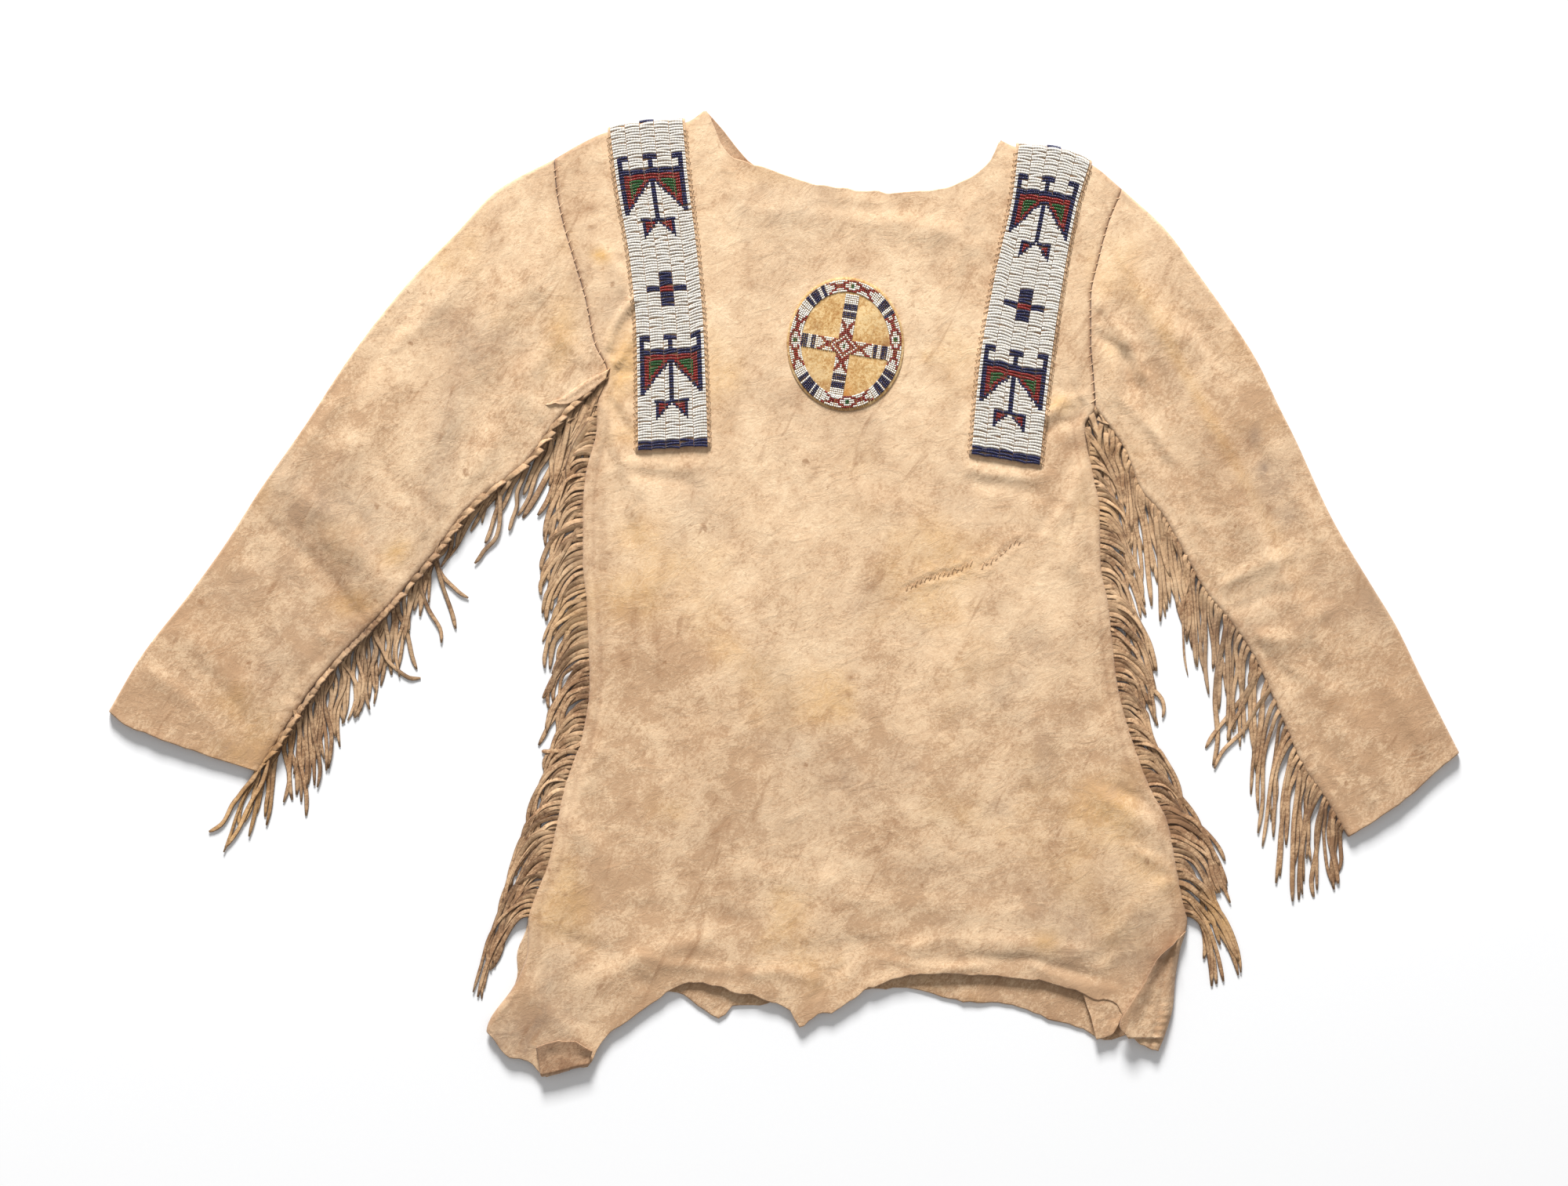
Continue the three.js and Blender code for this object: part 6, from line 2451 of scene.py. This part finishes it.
@dataclass(frozen=True)
class HemFlap:
    """A corner of the hem that lies folded over on the front."""

    name: str
    # Rows of the fold's x and y and the free edge's x and y
    rows: Rows
    seed: int
    spans: tuple[int, int] = (40, 26)
    curl: float = 4.2
    clear: float = 0.5
    grime: float = 0.08

    def build(self, finishes: Finishes) -> Piece:
        """Builds and dresses the flap.

        Args:
            finishes: the shirt's materials.

        Returns:
            The flap.
        """
        t, s = paired(np.linspace(0, 1, self.spans[0] + 1), edge_spacing(self.spans[1], (0.015, 0.03)))
        fold, free = walk(self.rows, 0, 1)(t), walk(self.rows, 2, 3)(t)
        rough = 0.8 * ripple(t * 70, 6, self.seed) * ease(s, 0.6, 1)
        away = np.hypot(free[0] - fold[0], free[1] - fold[1]) * s
        tuck = 0.9 * (1 - np.clip(away / 2.2, 0, 1)) ** 2
        x = mix(fold[0], free[0], s) + rough + tuck * np.sign(fold[0] - free[0])
        y = mix(fold[1], free[1], s) + rough
        base = FRONT.surface(x, y)[0] + self.clear
        bend = np.sqrt(np.clip(1 - (1 - np.clip(away / 2.6, 0, 1)) ** 2, 0, 1))
        lift = self.curl * ease(s, 0.5, 1) * (0.85 + 0.5 * lattice(t * 60, s * 8, 16, self.seed + 1))
        relief = 0.5 * layered(x, y, 9, self.seed + 2, 2) * ease(s, 0.05, 0.3)
        upper = mix(FRONT_BASE, base + HIDE, bend) + np.maximum(lift + relief, -0.6)
        lower = np.minimum(mix(FRONT_BASE - 0.1, base, bend) + np.maximum(lift, 0), upper - 0.5)
        # Darker by the flap's grime and near the fold, with painted shade along the free edge, which stands
        # off the front
        grime = self.grime + 0.3 * np.exp(-away / 3) + 0.35 * np.exp(-(1 - s) * 12)
        outer, inner = grid(x, y, upper), grid(x, y, lower)
        return hide_shell(self.name, outer, inner, finishes.hide, grime, 0.8, fibre=0.7)


FLAPS = (
    HemFlap("hem_flap_right", (
        (271, -229, 262, -238), (266, -245, 253, -246), (263.5, -262, 244, -262), (262, -280, 233, -279),
        (259, -292, 226, -292), (256, -301, 232, -301),
    ), 401),
    HemFlap("hem_tab_left", (
        (-164, -327.5, -167, -307), (-154, -325.5, -155, -303), (-145, -323, -145, -302.5),
        (-132, -320, -130, -310),
    ), 411, curl=1.6, clear=1.0, grime=0.85),
    HemFlap("hem_tab_right", (
        (201, -267, 207, -287), (210, -269, 212, -301), (219, -272, 221, -299), (230, -278, 229, -285),
    ), 431, curl=1.4, clear=-1.7, grime=0.15),
    HemFlap("underarm_point", (
        (-118, 152, -121, 144), (-136, 142, -133, 135), (-150, 132.5, -147, 127.5),
        (-161, 128.5, -161, 127.5),
    ), 421, curl=0.5, clear=0.6, grime=0.2),
)


# Across, along and up at the points of one stitch over an armhole and over a mended tear
ARMHOLE_STITCH = np.array([
    (-2.7, 1.0, 3.4), (-1.8, 0.8, 4.55), (0, 0, 4.3), (1.8, -0.9, 4.6), (2.7, -1.2, 3.4),
])
MEND_STITCH = np.array([
    (-0.6, -2.2, 4.6), (-0.3, -1.2, 5.3), (0, 0, 5.1), (0.5, 1.2, 5.3), (0.9, 2.2, 4.6),
])


@dataclass(frozen=True)
class Sewing:
    """Sinew stitches that show: whipped armholes and mends."""

    pitch: float = SEWING_PITCH
    thread: float = 0.95
    mend_thread: float = 0.45
    seed: int = 501

    def along(self, span: tuple[float, float], side: Side) -> tuple[Array, Array]:
        """Places of the stitches down an armhole and directions across it.

        Args:
            span: y of the first stitch and of the last.
            side: which armhole.

        Returns:
            The places and the directions.
        """
        y = np.arange(*span, -self.pitch)
        wander = np.sin(2 * np.pi * y / 13.5 + 0.6 * ripple(y, 17, 6))
        x = PLAN.edge(side, y) + side * 0.35 + 1.1 * wander
        slope = (PLAN.edge(side, y - 1) - PLAN.edge(side, y + 1)) / -2
        across = np.stack([np.ones(len(y)), -slope], axis=1)
        return np.stack([x, y], axis=1), across / np.linalg.norm(across, axis=1, keepdims=True)

    def armhole(self, side: Side, span: tuple[float, float]) -> Array:
        """Paths of slanted stitches over an armhole's seam.

        Args:
            side: which armhole.
            span: y of the first stitch and of the last.

        Returns:
            Stitches by points by 3.
        """
        random = np.random.default_rng(self.seed + side)
        middle, across = self.along(span, side)
        down = -square_to(across)
        steps = ARMHOLE_STITCH
        stretch = 1 + random.normal(0, 0.12, len(middle))[:, None]
        flat = (
            middle[:, None, :]
            + across[:, None, :] * (steps[None, :, 0] * stretch)[..., None]
            + down[:, None, :] * (steps[None, :, 1] * stretch * 1.4)[..., None]
        )
        return np.concatenate([flat, np.broadcast_to(steps[:, 2:], (len(middle), 5, 1))], axis=2)

    def mends(self) -> Array:
        """Paths of the small stitches across the mended tears.

        Returns:
            Stitches by points by 3.
        """
        paths = []
        random = np.random.default_rng(self.seed + 7)
        for rows in FRONT.mends:
            x = np.arange(rows[0][0], rows[-1][0], 3.1)
            middle = FRONT.mend_middle(rows)(x) + random.normal(0, 0.4, len(x))
            flat = x[:, None] + MEND_STITCH[:, 0], middle[:, None] + MEND_STITCH[:, 1]
            paths.append(grid(*flat, FRONT.creases.height(*flat) + MEND_STITCH[:, 2]))
        return np.concatenate(paths)

    def build(self, finishes: Finishes) -> list[Piece]:
        """Builds and dresses the stitches.

        Args:
            finishes: the shirt's materials.

        Returns:
            The armholes' stitches and the mends' stitches.
        """
        arm = np.concatenate([self.armhole(Side.LEFT, (286, 152)), self.armhole(Side.RIGHT, (266, 128))])
        rows = ("armhole_stitches", arm, self.thread), ("mend_stitches", self.mends(), self.mend_thread)
        pieces = []
        for name, paths, thread in rows:
            even = np.ones(paths.shape[:2])
            piece = tubes(name, paths, thread * even, thread * even, 0 * even, 6)
            dress_hide(piece, finishes.hide, Slot.FRINGE, np.full(len(piece.data.vertices), 0.35))
            pieces.append(piece)
        return pieces


# Studio


@dataclass(frozen=True)
class Studio:
    """White floor, soft light from above the neck and a camera straight overhead."""

    width: float = 1.06
    lens: float = 100.0
    level: float = 0.004
    centre_y: float = -0.00027
    key_place: tuple[float, float, float] = (-0.5, 5.2, 2.5)
    key_power: float = 590.0
    key_size: float = 1.5
    sky: float = 0.38
    floor_half: float = 4.0
    floor_drop: float = 0.0001
    sensor: float = 36.0
    sees: float = 20.0

    def camera(self) -> Piece:
        """The overhead camera, whose frame is as wide as the photograph's.

        Returns:
            The camera.
        """
        data = bpy.data.cameras.new("overhead")
        data.lens = self.lens
        data.sensor_width = self.sensor
        data.clip_end = self.sees
        camera = bpy.data.objects.new("overhead", data)
        height = self.level + self.width * self.lens / data.sensor_width
        camera.location = (0.0, self.centre_y, height)
        bpy.context.scene.collection.objects.link(camera)
        bpy.context.scene.camera = camera
        return camera

    def lights(self) -> None:
        """The key light and an even white sky."""
        data = bpy.data.lights.new("key", "AREA")
        data.shape = "SQUARE"
        data.size = self.key_size
        data.energy = self.key_power
        key = bpy.data.objects.new("key", data)
        key.location = self.key_place
        key.rotation_euler = (-Vector(self.key_place)).to_track_quat("-Z", "Y").to_euler()
        bpy.context.scene.collection.objects.link(key)
        world = bpy.data.worlds.new("sky")
        world.use_nodes = True
        world.node_tree.nodes["Background"].inputs["Color"].default_value = (1, 1, 1, 1)
        world.node_tree.nodes["Background"].inputs["Strength"].default_value = self.sky
        bpy.context.scene.world = world
        bpy.context.scene.view_settings.view_transform = "Standard"

    def floor(self) -> Piece:
        """The floor, a hair below the hide.

        Returns:
            The floor.
        """
        half, signs = self.floor_half, ((-1, -1), (1, -1), (1, 1), (-1, 1))
        mesh = bpy.data.meshes.new("floor")
        corners = [(x * half, y * half, -self.floor_drop) for x, y in signs]
        mesh.from_pydata(corners, [], [(0, 1, 2, 3)])
        floor = bpy.data.objects.new("floor", mesh)
        bpy.context.scene.collection.objects.link(floor)
        mesh.materials.append(FloorFinish().material())
        return floor


def report(pieces: Sequence[Piece]) -> None:
    """Reports each piece and its faces.

    Args:
        pieces: the pieces.
    """
    for piece in pieces:
        faces = sum(len(polygon.vertices) - 2 for polygon in piece.data.polygons)
        log.info("%s: %d triangles", piece.name, faces)


def main() -> None:
    """Builds the studio and every piece of the shirt in order."""
    logging.basicConfig(level=logging.INFO, format="%(name)s: %(message)s")
    studio = Studio()
    studio.camera()
    studio.lights()
    studio.floor()
    finishes = Finishes.made()
    pieces = [BACK.build(finishes, STRIPS), FRONT.build(finishes)]
    pieces += [sleeve.build(finishes) for sleeve in SLEEVES]
    for strip in STRIPS:
        pieces += strip.build(finishes)
    pieces += Rosette().build(finishes)
    pieces += [fringe.build(finishes) for fringe in FRINGES]
    flaps = [flap.build(finishes) for flap in FLAPS]
    pieces += flaps
    pieces += Sewing().build(finishes)
    report(pieces)


if __name__ == "__main__":
    main()
